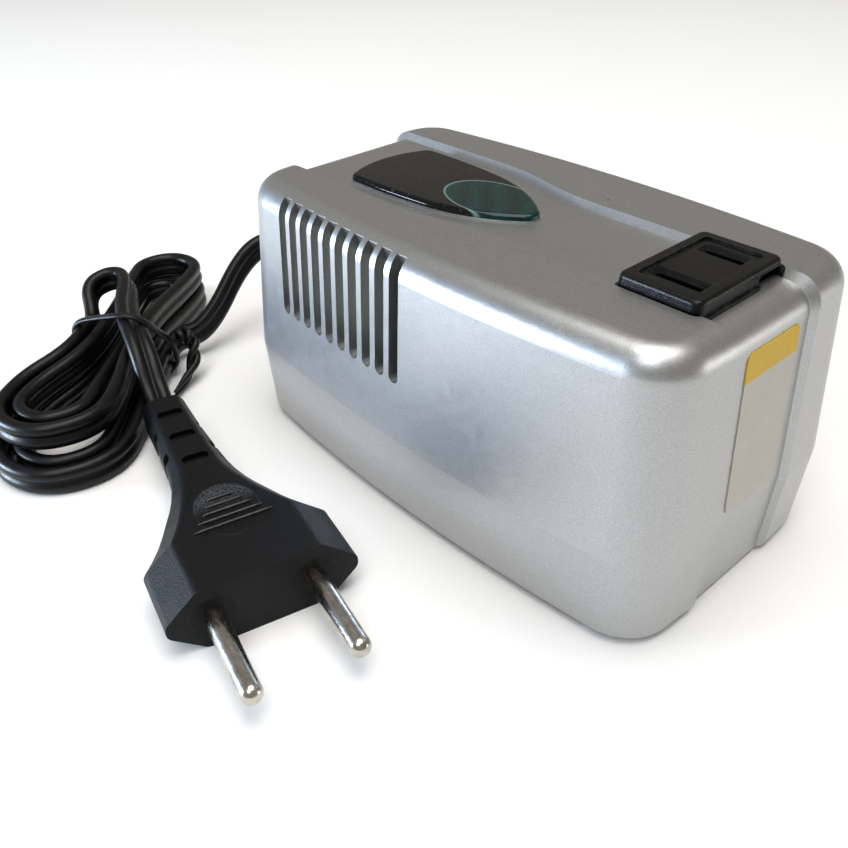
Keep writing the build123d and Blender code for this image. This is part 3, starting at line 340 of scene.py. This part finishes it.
def bare_flanks_painted_shade(tree, place):
    """One on the vents' flanks, bare of paint and darkened as painted shade, and nought elsewhere.
    """
    normal_x, _, _ = split(tree, tree.nodes.new("ShaderNodeNewGeometry").outputs["True Normal"])
    x, y, _ = split(tree, place)
    facing = reckoned(tree, "ABSOLUTE", normal_x, 0.0)
    along = reckoned(tree, "ABSOLUTE", reckoned(tree, "SUBTRACT", x, VENTS_MIDDLE), 0.0)
    outward = reckoned(tree, "ABSOLUTE", y, 0.0)
    share = reckoned(tree, "MULTIPLY", ranged(tree, facing, 0.93, 0.97, 0.0, 1.0),
                     ranged(tree, along, VENTS_HALF, VENTS_HALF + VENTS_FADE, 1.0, 0.0))
    return reckoned(tree, "MULTIPLY", share,
                    ranged(tree, outward, FLANKS_FROM, FLANKS_FULL, 0.0, 1.0))


def silver_paint():
    """Metallic paint over moulded plastic: flakes, orange peel, hairline scratches, specks."""
    material, tree, shader, place = new_material("silver_paint")
    flakes = noise(tree, place, 0.00022, 2.0, 0.7)
    peel = noise(tree, place, 0.0014, 2.0)
    cloud = noise(tree, place, 0.03, 3.0)
    look = mixed(tree, ranged(tree, flakes, 0.25, 0.75, 0.0, 1.0),
                 (0.34, 0.342, 0.345, 1.0), (0.52, 0.522, 0.525, 1.0))
    look = mixed(tree, ranged(tree, cloud, 0.35, 0.65, 0.0, 0.06), look,
                 (0.30, 0.302, 0.305, 1.0))
    drawn = noise(tree, stretched(tree, place, (1.0, 1.0, 0.12), (0.5, 0.7, 0.2)), 0.0006, 2.0)
    where = ranged(tree, noise(tree, place, 0.009, 2.0), 0.64, 0.76, 0.0, 0.45)
    scratches = reckoned(tree, "MULTIPLY", ranged(tree, drawn, 0.66, 0.72, 0.0, 1.0), where)
    look = mixed(tree, scratches, look, (0.22, 0.225, 0.235, 1.0))
    specks = ranged(tree, cells(tree, place, 0.009), 0.022, 0.034, 1.0, 0.0)
    kept = ranged(tree, noise(tree, place, 0.013, 1.0), 0.56, 0.60, 0.0, 1.0)
    specks = reckoned(tree, "MULTIPLY", specks, kept)
    look = mixed(tree, specks, look, (0.11, 0.11, 0.12, 1.0))
    # The vents' flanks in dark grey: bare plastic, and also painted shade inside the vents
    look = mixed(tree, bare_flanks_painted_shade(tree, place), look, (0.30, 0.30, 0.28, 1.0))
    tree.links.new(look, shader.inputs["Base Color"])
    dull = ranged(tree, peel, 0.3, 0.7, 0.345, 0.385)
    dull = reckoned(tree, "ADD", dull, reckoned(tree, "MULTIPLY", scratches, 0.15))
    tree.links.new(dull, shader.inputs["Roughness"])
    shader.inputs["Metallic"].default_value = 0.9
    bumped(tree, shader, [(flakes, 0.000012), (peel, 0.000006)])
    return material


def badge_enamel():
    """Gloss black dome with a plain teal oval towards its point, and a little dust."""
    material, tree, shader, place = new_material("badge_enamel")
    x, y, _ = split(tree, place)
    reach = oval_reach(tree, x, y, OVAL_MIDDLE, OVAL_HALF_LENGTH, OVAL_HALF_WIDTH)
    inside = ranged(tree, reach, 0.97, 1.03, 1.0, 0.0)
    rim = reckoned(tree, "MULTIPLY", ranged(tree, reach, 0.93, 1.0, 0.0, 1.0),
                   ranged(tree, reach, 1.0, 1.08, 1.0, 0.0))
    streaks = waves(tree, place, 0.0035, "DIAGONAL", 4.0)
    teal = mixed(tree, streaks, (0.0004, 0.014, 0.014, 1.0), (0.0010, 0.026, 0.025, 1.0))
    look = mixed(tree, inside, (0.0030, 0.0034, 0.0042, 1.0), teal)
    look = mixed(tree, rim, look, (0.16, 0.24, 0.24, 1.0))
    dust = ranged(tree, noise(tree, place, 0.0008, 3.0), 0.62, 0.75, 0.0, 0.25)
    look = mixed(tree, dust, look, (0.20, 0.20, 0.21, 1.0))
    tree.links.new(look, shader.inputs["Base Color"])
    smear = noise(tree, place, 0.006, 4.0)
    tree.links.new(ranged(tree, smear, 0.3, 0.7, 0.05, 0.14), shader.inputs["Roughness"])
    shader.inputs["Specular IOR Level"].default_value = 0.28
    bumped(tree, shader, [(smear, 0.00003)])
    return material


def label_paper():
    """Coated paper label: a yellow head and an off-white field, both blank."""
    material, tree, shader, place = new_material("label_paper")
    _, _, z = split(tree, place)
    head = ranged(tree, z, LABEL_HEAD_FROM, LABEL_HEAD_FULL, 0.0, 1.0)
    tone = noise(tree, place, 0.004, 4.0)
    white = mixed(tree, tone, (0.42, 0.40, 0.36, 1.0), (0.49, 0.47, 0.43, 1.0))
    yellow = mixed(tree, tone, (0.52, 0.33, 0.012, 1.0), (0.60, 0.40, 0.020, 1.0))
    tree.links.new(mixed(tree, head, white, yellow), shader.inputs["Base Color"])
    fibres = noise(tree, place, 0.0003, 3.0)
    tree.links.new(ranged(tree, fibres, 0.3, 0.7, 0.38, 0.5), shader.inputs["Roughness"])
    shader.inputs["Specular IOR Level"].default_value = 0.3
    bumped(tree, shader, [(fibres, 0.000015), (tone, 0.00005)])
    return material


def cord_jacket():
    """Extruded black PVC: a soft sheen, slight ripple and a little dust."""
    material, tree, shader, place = new_material("cord_jacket")
    ripple = noise(tree, place, 0.0035, 3.0)
    fine = noise(tree, place, 0.0005, 3.0)
    dust = ranged(tree, noise(tree, place, 0.0011, 4.0), 0.60, 0.78, 0.0, 0.5)
    look = mixed(tree, dust, (0.0020, 0.0020, 0.0026, 1.0), (0.009, 0.009, 0.010, 1.0))
    tree.links.new(look, shader.inputs["Base Color"])
    tree.links.new(ranged(tree, ripple, 0.3, 0.7, 0.32, 0.42), shader.inputs["Roughness"])
    shader.inputs["Specular IOR Level"].default_value = 0.28
    bumped(tree, shader, [(fine, 0.00002), (ripple, 0.00008)])
    return material


def on_plug(tree, place):
    """The coordinates in the plug's own frame, split up: along it, across it and up."""
    turn = Matrix.Rotation(radians(-PLUG_HEADING), 4, "Z")
    mapping = tree.nodes.new("ShaderNodeMapping")
    tree.links.new(place, mapping.inputs["Vector"])
    mapping.inputs["Rotation"].default_value = (0.0, 0.0, radians(-PLUG_HEADING))
    mapping.inputs["Location"].default_value = -(turn @ Vector(PLUG_PLACE))
    return split(tree, mapping.outputs["Vector"])


def plug_moulding():
    """Moulded black PVC with a fine spark texture, coarser on the arched back of the grip
    patch, which stands up a little and has light flecks of painted highlight, and a joint in front
    of the strain relief."""
    material, tree, shader, place = new_material("plug_moulding")
    along, across, up = on_plug(tree, place)
    reach = oval_reach(tree, along, across, PATCH_MIDDLE, PATCH_HALF_LENGTH, PATCH_HALF_WIDTH)
    patch = reckoned(tree, "MULTIPLY", ranged(tree, reach, 0.92, 1.0, 1.0, 0.0),
                     ranged(tree, along, PATCH_BACK, PATCH_FRONT, 1.0, 0.0))
    step = ranged(tree, reach, 0.96, 1.04, 1.0, 0.0)
    spark = noise(tree, place, 0.00026, 3.0, 0.7)
    coarse = cells(tree, place, 0.00042)
    broad = noise(tree, place, 0.005, 3.0)
    from_joint = reckoned(tree, "ABSOLUTE", reckoned(tree, "SUBTRACT", along, JOINT_PLACE), 0.0)
    joint = reckoned(tree, "MULTIPLY", ranged(tree, from_joint, JOINT_HALF, JOINT_FADE, 1.0, 0.0),
                     ranged(tree, up, JOINT_TOP, JOINT_TOP_FADE, 1.0, 0.0))
    look = mixed(tree, ranged(tree, spark, 0.45, 0.75, 0.0, 1.0),
                 (0.0022, 0.0023, 0.0030, 1.0), (0.0060, 0.0064, 0.0084, 1.0))
    # Light flecks on the grip patch: painted highlights of its coarse texture
    painted_glints = reckoned(tree, "MULTIPLY", patch, ranged(tree, coarse, 0.30, 0.62, 0.0, 1.0))
    look = mixed(tree, painted_glints, look, (0.050, 0.052, 0.054, 1.0))
    tree.links.new(look, shader.inputs["Base Color"])
    tree.links.new(ranged(tree, broad, 0.3, 0.7, 0.38, 0.48), shader.inputs["Roughness"])
    shader.inputs["Specular IOR Level"].default_value = 0.17
    bumped(tree, shader, [(spark, 0.00010), (broad, 0.00006),
                          (reckoned(tree, "MULTIPLY", coarse, patch), 0.00020),
                          (step, 0.00010), (joint, -0.00015)])
    return material


def nickel_plate():
    """Nickel plated brass pins: bright, drawn along, with light rub marks."""
    material, tree, shader, place = new_material("nickel_plate")
    along = stretched(tree, place, (0.16, 1.0, 1.0), (0.0, 0.0, radians(-PLUG_HEADING)))
    drawn = noise(tree, along, 0.0004, 4.0, 0.6)
    rubs = ranged(tree, noise(tree, place, 0.0022, 4.0), 0.45, 0.75, 0.0, 1.0)
    look = mixed(tree, rubs, (0.56, 0.53, 0.48, 1.0), (0.36, 0.33, 0.29, 1.0))
    tree.links.new(look, shader.inputs["Base Color"])
    tree.links.new(ranged(tree, drawn, 0.3, 0.7, 0.14, 0.30), shader.inputs["Roughness"])
    shader.inputs["Metallic"].default_value = 1.0
    bumped(tree, shader, [(drawn, 0.00001), (rubs, 0.00001)])
    return material


def laminations():
    """Stacked electrical steel: sheet edges half a millimetre apart under thin varnish."""
    material, tree, shader, place = new_material("laminations")
    sheets = waves(tree, place, 0.0005, "Y", 0.4)
    stain = noise(tree, place, 0.006, 4.0)
    look = mixed(tree, sheets, (0.07, 0.075, 0.085, 1.0), (0.26, 0.27, 0.29, 1.0))
    look = mixed(tree, ranged(tree, stain, 0.5, 0.8, 0.0, 0.7), look, (0.12, 0.08, 0.05, 1.0))
    tree.links.new(look, shader.inputs["Base Color"])
    tree.links.new(ranged(tree, stain, 0.3, 0.7, 0.35, 0.6), shader.inputs["Roughness"])
    shader.inputs["Metallic"].default_value = 0.7
    bumped(tree, shader, [(sheets, 0.00006), (stain, 0.00003)])
    return material


def copper_turns():
    """Enamelled copper wire wound in level turns, with painted shade in the grooves between them.
    """
    material, tree, shader, place = new_material("copper_turns")
    turns = waves(tree, place, 0.0006, "Z", 0.6)
    heat = noise(tree, place, 0.004, 3.0)
    # Dark bands between the turns are painted shade
    look = mixed(tree, turns, (0.20, 0.055, 0.018, 1.0), (0.72, 0.28, 0.11, 1.0))
    look = mixed(tree, ranged(tree, heat, 0.5, 0.8, 0.0, 0.6), look, (0.30, 0.10, 0.04, 1.0))
    tree.links.new(look, shader.inputs["Base Color"])
    tree.links.new(ranged(tree, heat, 0.3, 0.7, 0.22, 0.4), shader.inputs["Roughness"])
    shader.inputs["Metallic"].default_value = 0.8
    bumped(tree, shader, [(turns, 0.00025), (heat, 0.00003)])
    return material


PLAIN_LOOKS = {
    "zinc_steel": dict(colour=(0.62, 0.62, 0.60), wear_and_highlight=(0.40, 0.39, 0.37), roughness=0.34,
                       spread=0.16, metallic=1.0, grain_depth=0.00002),
    "barrier_grey": dict(colour=(0.70, 0.68, 0.60), wear_and_highlight=(0.30, 0.30, 0.29), roughness=0.62,
                         spread=0.16, grain=0.0005, grain_depth=0.00004, patch=0.01),
    "badge_rim": dict(colour=(0.62, 0.63, 0.64), wear_and_highlight=(0.35, 0.35, 0.36), roughness=0.22,
                      spread=0.12, metallic=0.9, grain_depth=0.00001, patch=0.006),
    "outlet_black": dict(colour=(0.0035, 0.0036, 0.0040), wear_and_highlight=(0.030, 0.030, 0.032),
                         roughness=0.30, spread=0.12, specular=0.22, grain=0.00035, patch=0.008),
    "contact_brass": dict(colour=(0.66, 0.45, 0.17), wear_and_highlight=(0.42, 0.26, 0.10), roughness=0.30,
                          spread=0.2, metallic=1.0, grain_depth=0.00002, patch=0.003),
    "bobbin_nylon": dict(colour=(0.62, 0.58, 0.48), wear_and_highlight=(0.72, 0.69, 0.60), roughness=0.45,
                         spread=0.16, grain=0.0004, patch=0.008),
    "tinned_tags": dict(colour=(0.66, 0.66, 0.65), wear_and_highlight=(0.45, 0.44, 0.42), roughness=0.36,
                        spread=0.22, metallic=1.0, patch=0.002),
    "winding_tape": dict(colour=(0.62, 0.40, 0.05), wear_and_highlight=(0.70, 0.52, 0.16), roughness=0.32,
                         spread=0.16, coat=0.3, grain=0.0008, grain_depth=0.00004, patch=0.005),
    "fuse_body": dict(colour=(0.55, 0.53, 0.48), wear_and_highlight=(0.35, 0.33, 0.30), roughness=0.4,
                      patch=0.003),
    "lead_brown": dict(colour=(0.13, 0.050, 0.022), wear_and_highlight=(0.20, 0.09, 0.05), roughness=0.4,
                       grain=0.0005),
    "lead_blue": dict(colour=(0.020, 0.085, 0.32), wear_and_highlight=(0.07, 0.16, 0.42), roughness=0.4,
                      grain=0.0005),
    "tie_black": dict(colour=(0.003, 0.003, 0.0034), wear_and_highlight=(0.02, 0.02, 0.022), roughness=0.40,
                      specular=0.30, grain_depth=0.00006, patch=0.002),
    "carrier_black": dict(colour=(0.004, 0.004, 0.0045), wear_and_highlight=(0.02, 0.02, 0.02),
                          roughness=0.42, specular=0.14, grain_depth=0.00005),
    # On the ribs the lighter edge colour is a painted highlight
    "rib_black": dict(colour=(0.010, 0.0105, 0.012), wear_and_highlight=(0.060, 0.062, 0.066),
                      roughness=0.30, spread=0.12),
}

# The record's slots, and rib_black for the ribs of the grip
FINISHES = {name: plain_finish(name, **look) for name, look in PLAIN_LOOKS.items()}
FINISHES.update({
    "case_silver": silver_paint(),
    "badge_black": badge_enamel(),
    "label_paper": label_paper(),
    "core_steel": laminations(),
    "winding_copper": copper_turns(),
    "cord_pvc": cord_jacket(),
    "plug_pvc": plug_moulding(),
    "nickel_pins": nickel_plate(),
})


def finish_nodes():
    """Gives every CAD node the detailed material that stands for its record slot."""
    for node in nodes.values():
        for slot in node.material_slots:
            name = slot.material.name.split(".")[0]
            for key, material in FINISHES.items():
                if key in name:
                    slot.material = material
                    break


# Cord

def hank_place(along, across, height):
    """From the hank's own frame, +X along its near lobe, to the part's frame."""
    turn = Matrix.Rotation(radians(HANK_HEADING), 4, "Z")
    return Matrix.Translation(HANK_CENTRE) @ turn @ Vector((along, across, height))


def hank_pass(index):
    """Half width in the near lobe, in the far lobe and at the waist, for one pass."""
    inward = min(index, 2 * HANK_CLIMB - index)
    half = HANK_HALF - inward * HANK_STEP
    return half, half - HANK_FAR_INSET, WAIST_HALF - inward * WAIST_STEP


def hank_turn(end, centre, radius, height, side, outward):
    """Three points round the outside of a lobe's end, from one pass to the next."""
    reach = radius / cos(pi / 6)
    return [(end + outward * reach * cos(angle), centre + side * reach * sin(angle), height)
            for angle in (pi / 3, 0.0, -pi / 3)]


def hank_points():
    """Control points of all the loops, four on each pass and three round each lobe's end."""
    points = []
    for index in range(HANK_PASSES):
        side = 1 if index % 2 == 0 else -1
        near, far, waist = hank_pass(index)
        low = LAYER_LOW if index <= HANK_CLIMB else LAYER_HIGH
        high = LAYER_LOW if index < HANK_CLIMB else LAYER_HIGH
        middle = (low + high) / 2 + WAIST_LIFT
        near_end = HANK_NEAR_LENGTH - (HANK_NEAR_INSET if max(low, high) > LAYER_LOW else 0)
        near_radius = near if index == HANK_PASSES - 1 else (near + hank_pass(index + side)[0]) / 2
        far_radius = far if index == 0 else (far + hank_pass(index - side)[1]) / 2
        near_point = near_end - near_radius * sin(pi / 6) / cos(pi / 6)
        far_point = -HANK_FAR_LENGTH + far_radius * sin(pi / 6) / cos(pi / 6)
        near_height = high if side > 0 else low
        far_height = low if side > 0 else high
        run = [
            (far_point, side * far, far_height), (-WAIST_RUN, side * waist, middle),
            (WAIST_RUN, side * waist, middle), (near_point, side * near + HANK_SHIFT, near_height),
        ]
        if side < 0:
            run.reverse()
        if index == 0:
            run = run[2:]
        if index == HANK_PASSES - 1:
            run = run[:2]
        points += run
        if index < HANK_PASSES - 1:
            next_near, next_far, _ = hank_pass(index + 1)
            if side > 0:
                points += hank_turn(near_end, (near - next_near) / 2 + HANK_SHIFT,
                                    (near + next_near) / 2, high, side, 1)
            else:
                points += hank_turn(-HANK_FAR_LENGTH, (next_far - far) / 2,
                                    (far + next_far) / 2, high, side, -1)
    return points


def spline_points(name, controls, steps):
    """Points along a NURBS spline that has the given control points."""
    curve = bpy.data.curves.new(name, "CURVE")
    curve.dimensions = "3D"
    curve.resolution_u = steps
    spline = curve.splines.new("NURBS")
    spline.points.add(len(controls) - 1)
    for point, place in zip(spline.points, controls):
        point.co = (*place, 1.0)
    spline.order_u = 3
    spline.use_endpoint_u = True
    bare = bpy.data.objects.new(name, curve)
    mesh = bpy.data.meshes.new_from_object(bare)
    line = [vertex.co.copy() for vertex in mesh.vertices]
    bpy.data.meshes.remove(mesh)
    bpy.data.objects.remove(bare)
    bpy.data.curves.remove(curve)
    return line


def flat_section():
    """Outline of a flat twin cord: two round conductors side by side with a groove between."""
    radius = CORD_THICK / 2
    offset = (CORD_WIDTH - CORD_THICK) / 2
    outline = []
    for side in (1, -1):
        for step in range(JACKET_STEPS + 1):
            angle = radians(JACKET_REACH) * (2 * step / JACKET_STEPS - 1)
            outline.append((side * (offset + radius * cos(angle)), side * radius * sin(angle)))
    return outline


def round_section(radius, steps=12):
    """Outline of a round strand."""
    return [(radius * cos(2 * pi * step / steps), radius * sin(2 * pi * step / steps))
            for step in range(steps)]


def tube(name, line, section, roll, closed=False, level=Vector((0, 0, 1)), swell=None):
    """Mesh tube along a line. roll gives its turn in radians, and swell the section's
    scale, at a share of its length; level is the direction that the turn starts from."""
    mesh = bpy.data.meshes.new(name)
    rings = []
    count = len(line)
    for index, place in enumerate(line):
        before = line[index - 1] if index > 0 or closed else line[0]
        after = line[(index + 1) % count] if index < count - 1 or closed else line[-1]
        heading = (after - before).normalized()
        up = (level - heading * heading.dot(level)).normalized()
        across = heading.cross(up)
        turn = roll(index / (count - 1))
        wide = up * cos(turn) + across * sin(turn)
        thin = across * cos(turn) - up * sin(turn)
        scale = swell(index / (count - 1)) if swell else 1.0
        rings.append([place + (wide * a + thin * b) * scale for a, b in section])
    size = len(section)
    faces = []
    for ring in range(count if closed else count - 1):
        here, there = ring * size, (ring + 1) % count * size
        for step in range(size):
            follow = (step + 1) % size
            faces.append((here + step, there + step, there + follow, here + follow))
    if not closed:
        faces.append(tuple(range(size)))
        faces.append(tuple(reversed(range((count - 1) * size, count * size))))
    mesh.from_pydata([point for ring in rings for point in ring], [], faces)
    mesh.update()
    for polygon in mesh.polygons:
        polygon.use_smooth = len(polygon.vertices) == 4
    return bpy.data.objects.new(name, mesh)


def build_cord():
    """The whole lead in one piece, from the boot through the hank to the plug."""
    route = [Vector(CORD_EXIT)] + [Vector(place) for place in FEED_PLACES]
    route += [hank_place(*place) for place in HANK_START + hank_points() + HANK_END + TAIL_PLACES]
    route += [Vector(place) for place in PLUG_END]
    line = spline_points("lead_route", route, CORD_SPLINE_STEPS)

    def roll(share):
        """On edge through the hank, turning on to its flat side towards the plug."""
        eased = min(max((share - TURN_START) / TURN_RUN, 0.0), 1.0)
        return radians(90) * eased * eased * (3 - 2 * eased)

    lead = rides(tube("mains_lead", line, flat_section(), roll))
    lead.data.materials.append(FINISHES["cord_pvc"])
    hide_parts("cord_feed", "cord_hank", "cord_tail")
    return lead, line


def hull(points):
    """Convex outline of points in a plane, in turning order."""
    ordered = sorted(points)
    outline = []
    for run in (ordered, ordered[::-1]):
        half = []
        for point in run:
            while len(half) > 1 and ((half[-1][0] - half[-2][0]) * (point[1] - half[-2][1])
                                     - (half[-1][1] - half[-2][1]) * (point[0] - half[-2][0])) <= 0:
                half.pop()
            half.append(point)
        outline += half[:-1]
    return outline


def lean_at(angle):
    """How far the tie lies towards the near lobe, at an angle round the bundle."""
    total = 0.0
    for shift in TIE_LEAN_SPREAD:
        turned = (angle + shift) % 360
        for (first, low), (last, high) in zip(TIE_LEANS, TIE_LEANS[1:]):
            if first <= turned < last:
                total += low + (high - low) * (turned - first) / (last - first)
    return total / len(TIE_LEAN_SPREAD)


def edge_reach(outline, angle):
    """How far a convex outline lies from the origin, in the direction of an angle."""
    best = TIE_RADIUS + TIE_CLEAR
    for (x1, y1), (x2, y2) in zip(outline, outline[1:] + outline[:1]):
        cross = cos(angle) * (y2 - y1) - sin(angle) * (x2 - x1)
        if abs(cross) > 1e-12:
            reach = (x1 * (y2 - y1) - y1 * (x2 - x1)) / cross
            share = (x1 * sin(angle) - y1 * cos(angle)) / cross
            if reach > 0 and -1e-6 <= share <= 1 + 1e-6:
                best = max(best, reach)
    return best


def tie_ring(lead):
    """Line of the tie: drawn tight round the lead, like a string round a bundle."""
    vertices = [vertex.co for vertex in lead.data.vertices]
    faces = [tuple(polygon.vertices) for polygon in lead.data.polygons]
    surface = BVHTree.FromPolygons(vertices, faces)
    centre_across, centre_up = TIE_CENTRE
    clear = TIE_RADIUS + TIE_CLEAR
    angles = [2 * pi * step / TIE_STEPS for step in range(TIE_STEPS)]
    leans = [lean_at(360 * step / TIE_STEPS) for step in range(TIE_STEPS)]
    touched = []
    for angle, along in zip(angles, leans):
        middle = hank_place(along, centre_across, centre_up)
        outward = hank_place(along, centre_across + cos(angle), centre_up + sin(angle)) - middle
        hit = surface.ray_cast(middle + outward * TIE_LOOK_FROM, -outward, TIE_LOOK_REACH)
        if hit[0] is not None:
            reach = TIE_LOOK_FROM - hit[3] + clear
            touched.append((reach * cos(angle), reach * sin(angle)))
    outline = hull(touched)
    reaches = [edge_reach(outline, angle) for angle in angles]
    line = []
    for step, (angle, along) in enumerate(zip(angles, leans)):
        near = [reaches[(step + shift) % TIE_STEPS] for shift in TIE_SMOOTHING]
        reach = sum(near) / len(near)
        up = max(centre_up + reach * sin(angle), clear)
        line.append(hank_place(along, centre_across + reach * cos(angle), up))
    return line


def merged(name, pieces):
    """One piece made of several meshes."""
    points, faces, smooth = [], [], []
    for piece in pieces:
        mesh = piece.data
        base = len(points)
        points += [vertex.co.copy() for vertex in mesh.vertices]
        faces += [tuple(base + index for index in polygon.vertices) for polygon in mesh.polygons]
        smooth += [polygon.use_smooth for polygon in mesh.polygons]
        bpy.data.objects.remove(piece)
        bpy.data.meshes.remove(mesh)
    mesh = bpy.data.meshes.new(name)
    mesh.from_pydata(points, [], faces)
    mesh.update()
    mesh.polygons.foreach_set("use_smooth", smooth)
    return bpy.data.objects.new(name, mesh)


def twist_reach(share):
    """How far a strand of the twist runs from its middle: it parts at the knot, then closes."""
    return TIE_RADIUS * (0.3 + 1.5 * min(share / 0.08, 1.0) - 0.75 * min(share / 0.4, 1.0))


def twist_strand(middle, start, axis):
    """Line of one strand of the twist, which starts at an angle round the line it follows."""
    last = len(middle) - 1
    line = []
    for index, place in enumerate(middle):
        share = index / last
        heading = middle[min(index + 1, last)] - middle[max(index - 1, 0)]
        aside = heading.cross(axis).normalized()
        other = heading.cross(aside).normalized()
        angle = start + 2 * pi * TWIST_TURNS * (2 - share) * share
        turned = place + (aside * cos(angle) + other * sin(angle)) * twist_reach(share)
        turned.z = max(turned.z, STRAND_LIFT)
        line.append(turned)
    return line


def build_tie(lead):
    """Twist tie: a flattened strand round the bundle, and its two ends twisted together."""
    axis = hank_place(1, 0, 0) - hank_place(0, 0, 0)
    band = [(TIE_WIDEN * a, TIE_FLATTEN * b) for a, b in round_section(TIE_RADIUS)]
    pieces = [tube("tie_ring", tie_ring(lead), band, lambda share: 0.0, True, axis)]
    middle = spline_points("tie_twist", [hank_place(*place) for place in TWIST_LINE],
                           TWIST_SPLINE_STEPS)
    for start in (0.0, pi):
        pieces.append(tube("tie_strand", twist_strand(middle, start, axis),
                           round_section(STRAND_RADIUS), lambda share: 0.0, level=axis,
                           swell=lambda share: min(1.0, 0.4 + (1 - share) * 3)))
    tie = rides(merged("twist_tie", pieces))
    tie.data.materials.append(FINISHES["tie_black"])
    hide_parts("cord_tie")
    return tie


def plug_place(along, across, up):
    """From the plug's own frame, +X out of its face, to the part's frame."""
    turn = Matrix.Rotation(radians(PLUG_HEADING), 4, "Z")
    return Matrix.Translation(PLUG_PLACE) @ turn @ Vector((along, across, up))


def build_grip():
    """Five low ribs with tapered ends, across the flat that the plug does not lie on."""
    pieces = []
    for along, half, up in GRIP_RIBS:
        line = [plug_place(along, half * (2 * step / RIB_STEPS - 1), up)
                for step in range(RIB_STEPS + 1)]
        pieces.append(tube("rib", line, round_section(RIB_RADIUS, 10), lambda share: 0.0,
                           swell=lambda share: min(1.0, 0.35 + 9 * min(share, 1 - share))))
    ribs = rides(merged("grip_ribs", pieces))
    ribs.data.materials.append(FINISHES["rib_black"])
    return ribs


# Floor, light and camera

def build_floor():
    """Plain pale floor."""
    mesh = bpy.data.meshes.new("floor")
    corners = [(-1, -1), (1, -1), (1, 1), (-1, 1)]
    mesh.from_pydata([(x * FLOOR_HALF, y * FLOOR_HALF, 0) for x, y in corners],
                     [], [(0, 1, 2, 3)])
    floor = bpy.data.objects.new("floor", mesh)
    scene.collection.objects.link(floor)
    material, tree, shader, place = new_material("floor_white")
    tone = noise(tree, place, 0.2, 2.0)
    tree.links.new(mixed(tree, tone, (0.93, 0.93, 0.93, 1.0), (0.95, 0.95, 0.95, 1.0)),
                   shader.inputs["Base Color"])
    shader.inputs["Roughness"].default_value = 0.9
    shader.inputs["Specular IOR Level"].default_value = 0.0
    mesh.materials.append(material)


def build_room():
    """The room all round: one colour, going over to the window's on that side."""
    world = bpy.data.worlds.new("studio")
    scene.world = world
    world.use_nodes = True
    tree = world.node_tree
    facing = tree.nodes.new("ShaderNodeVectorMath")
    facing.operation = "DOT_PRODUCT"
    tree.links.new(tree.nodes.new("ShaderNodeTexCoord").outputs["Generated"], facing.inputs[0])
    facing.inputs[1].default_value = WINDOW_SIDE
    window = ranged(tree, facing.outputs["Value"], *WINDOW_FADE, 0.0, 1.0)
    tree.links.new(mixed(tree, window, ROOM_COLOUR, WINDOW_COLOUR),
                   tree.nodes["Background"].inputs["Color"])


def build_lamps():
    """Soft round lamps that face the origin."""
    for name, place, width, power, colour in LAMPS:
        data = bpy.data.lights.new(name, "AREA")
        data.shape = "DISK"
        data.size = width
        data.energy = power
        data.color = colour
        lamp = bpy.data.objects.new(name, data)
        lamp.location = place
        lamp.rotation_euler = (-Vector(place)).to_track_quat("-Z", "Y").to_euler()
        scene.collection.objects.link(lamp)


def build_camera():
    """The camera of the photograph."""
    data = bpy.data.cameras.new("camera")
    data.lens = CAMERA_LENS
    data.sensor_width = CAMERA_SENSOR
    data.clip_start = CAMERA_NEAR_CLIP
    camera = bpy.data.objects.new("camera", data)
    camera.matrix_world = (
        Matrix.Translation(CAMERA_PLACE)
        @ Matrix.Rotation(radians(CAMERA_AZIMUTH), 4, "Z")
        @ Matrix.Rotation(radians(90 - CAMERA_ELEVATION), 4, "X")
        @ Matrix.Rotation(radians(CAMERA_ROLL), 4, "Z")
    )
    scene.collection.objects.link(camera)
    scene.camera = camera
    scene.view_settings.view_transform = "Standard"


finish_nodes()
lead, lead_line = build_cord()
tie = build_tie(lead)
grip = build_grip()
build_floor()
build_room()
build_lamps()
build_camera()
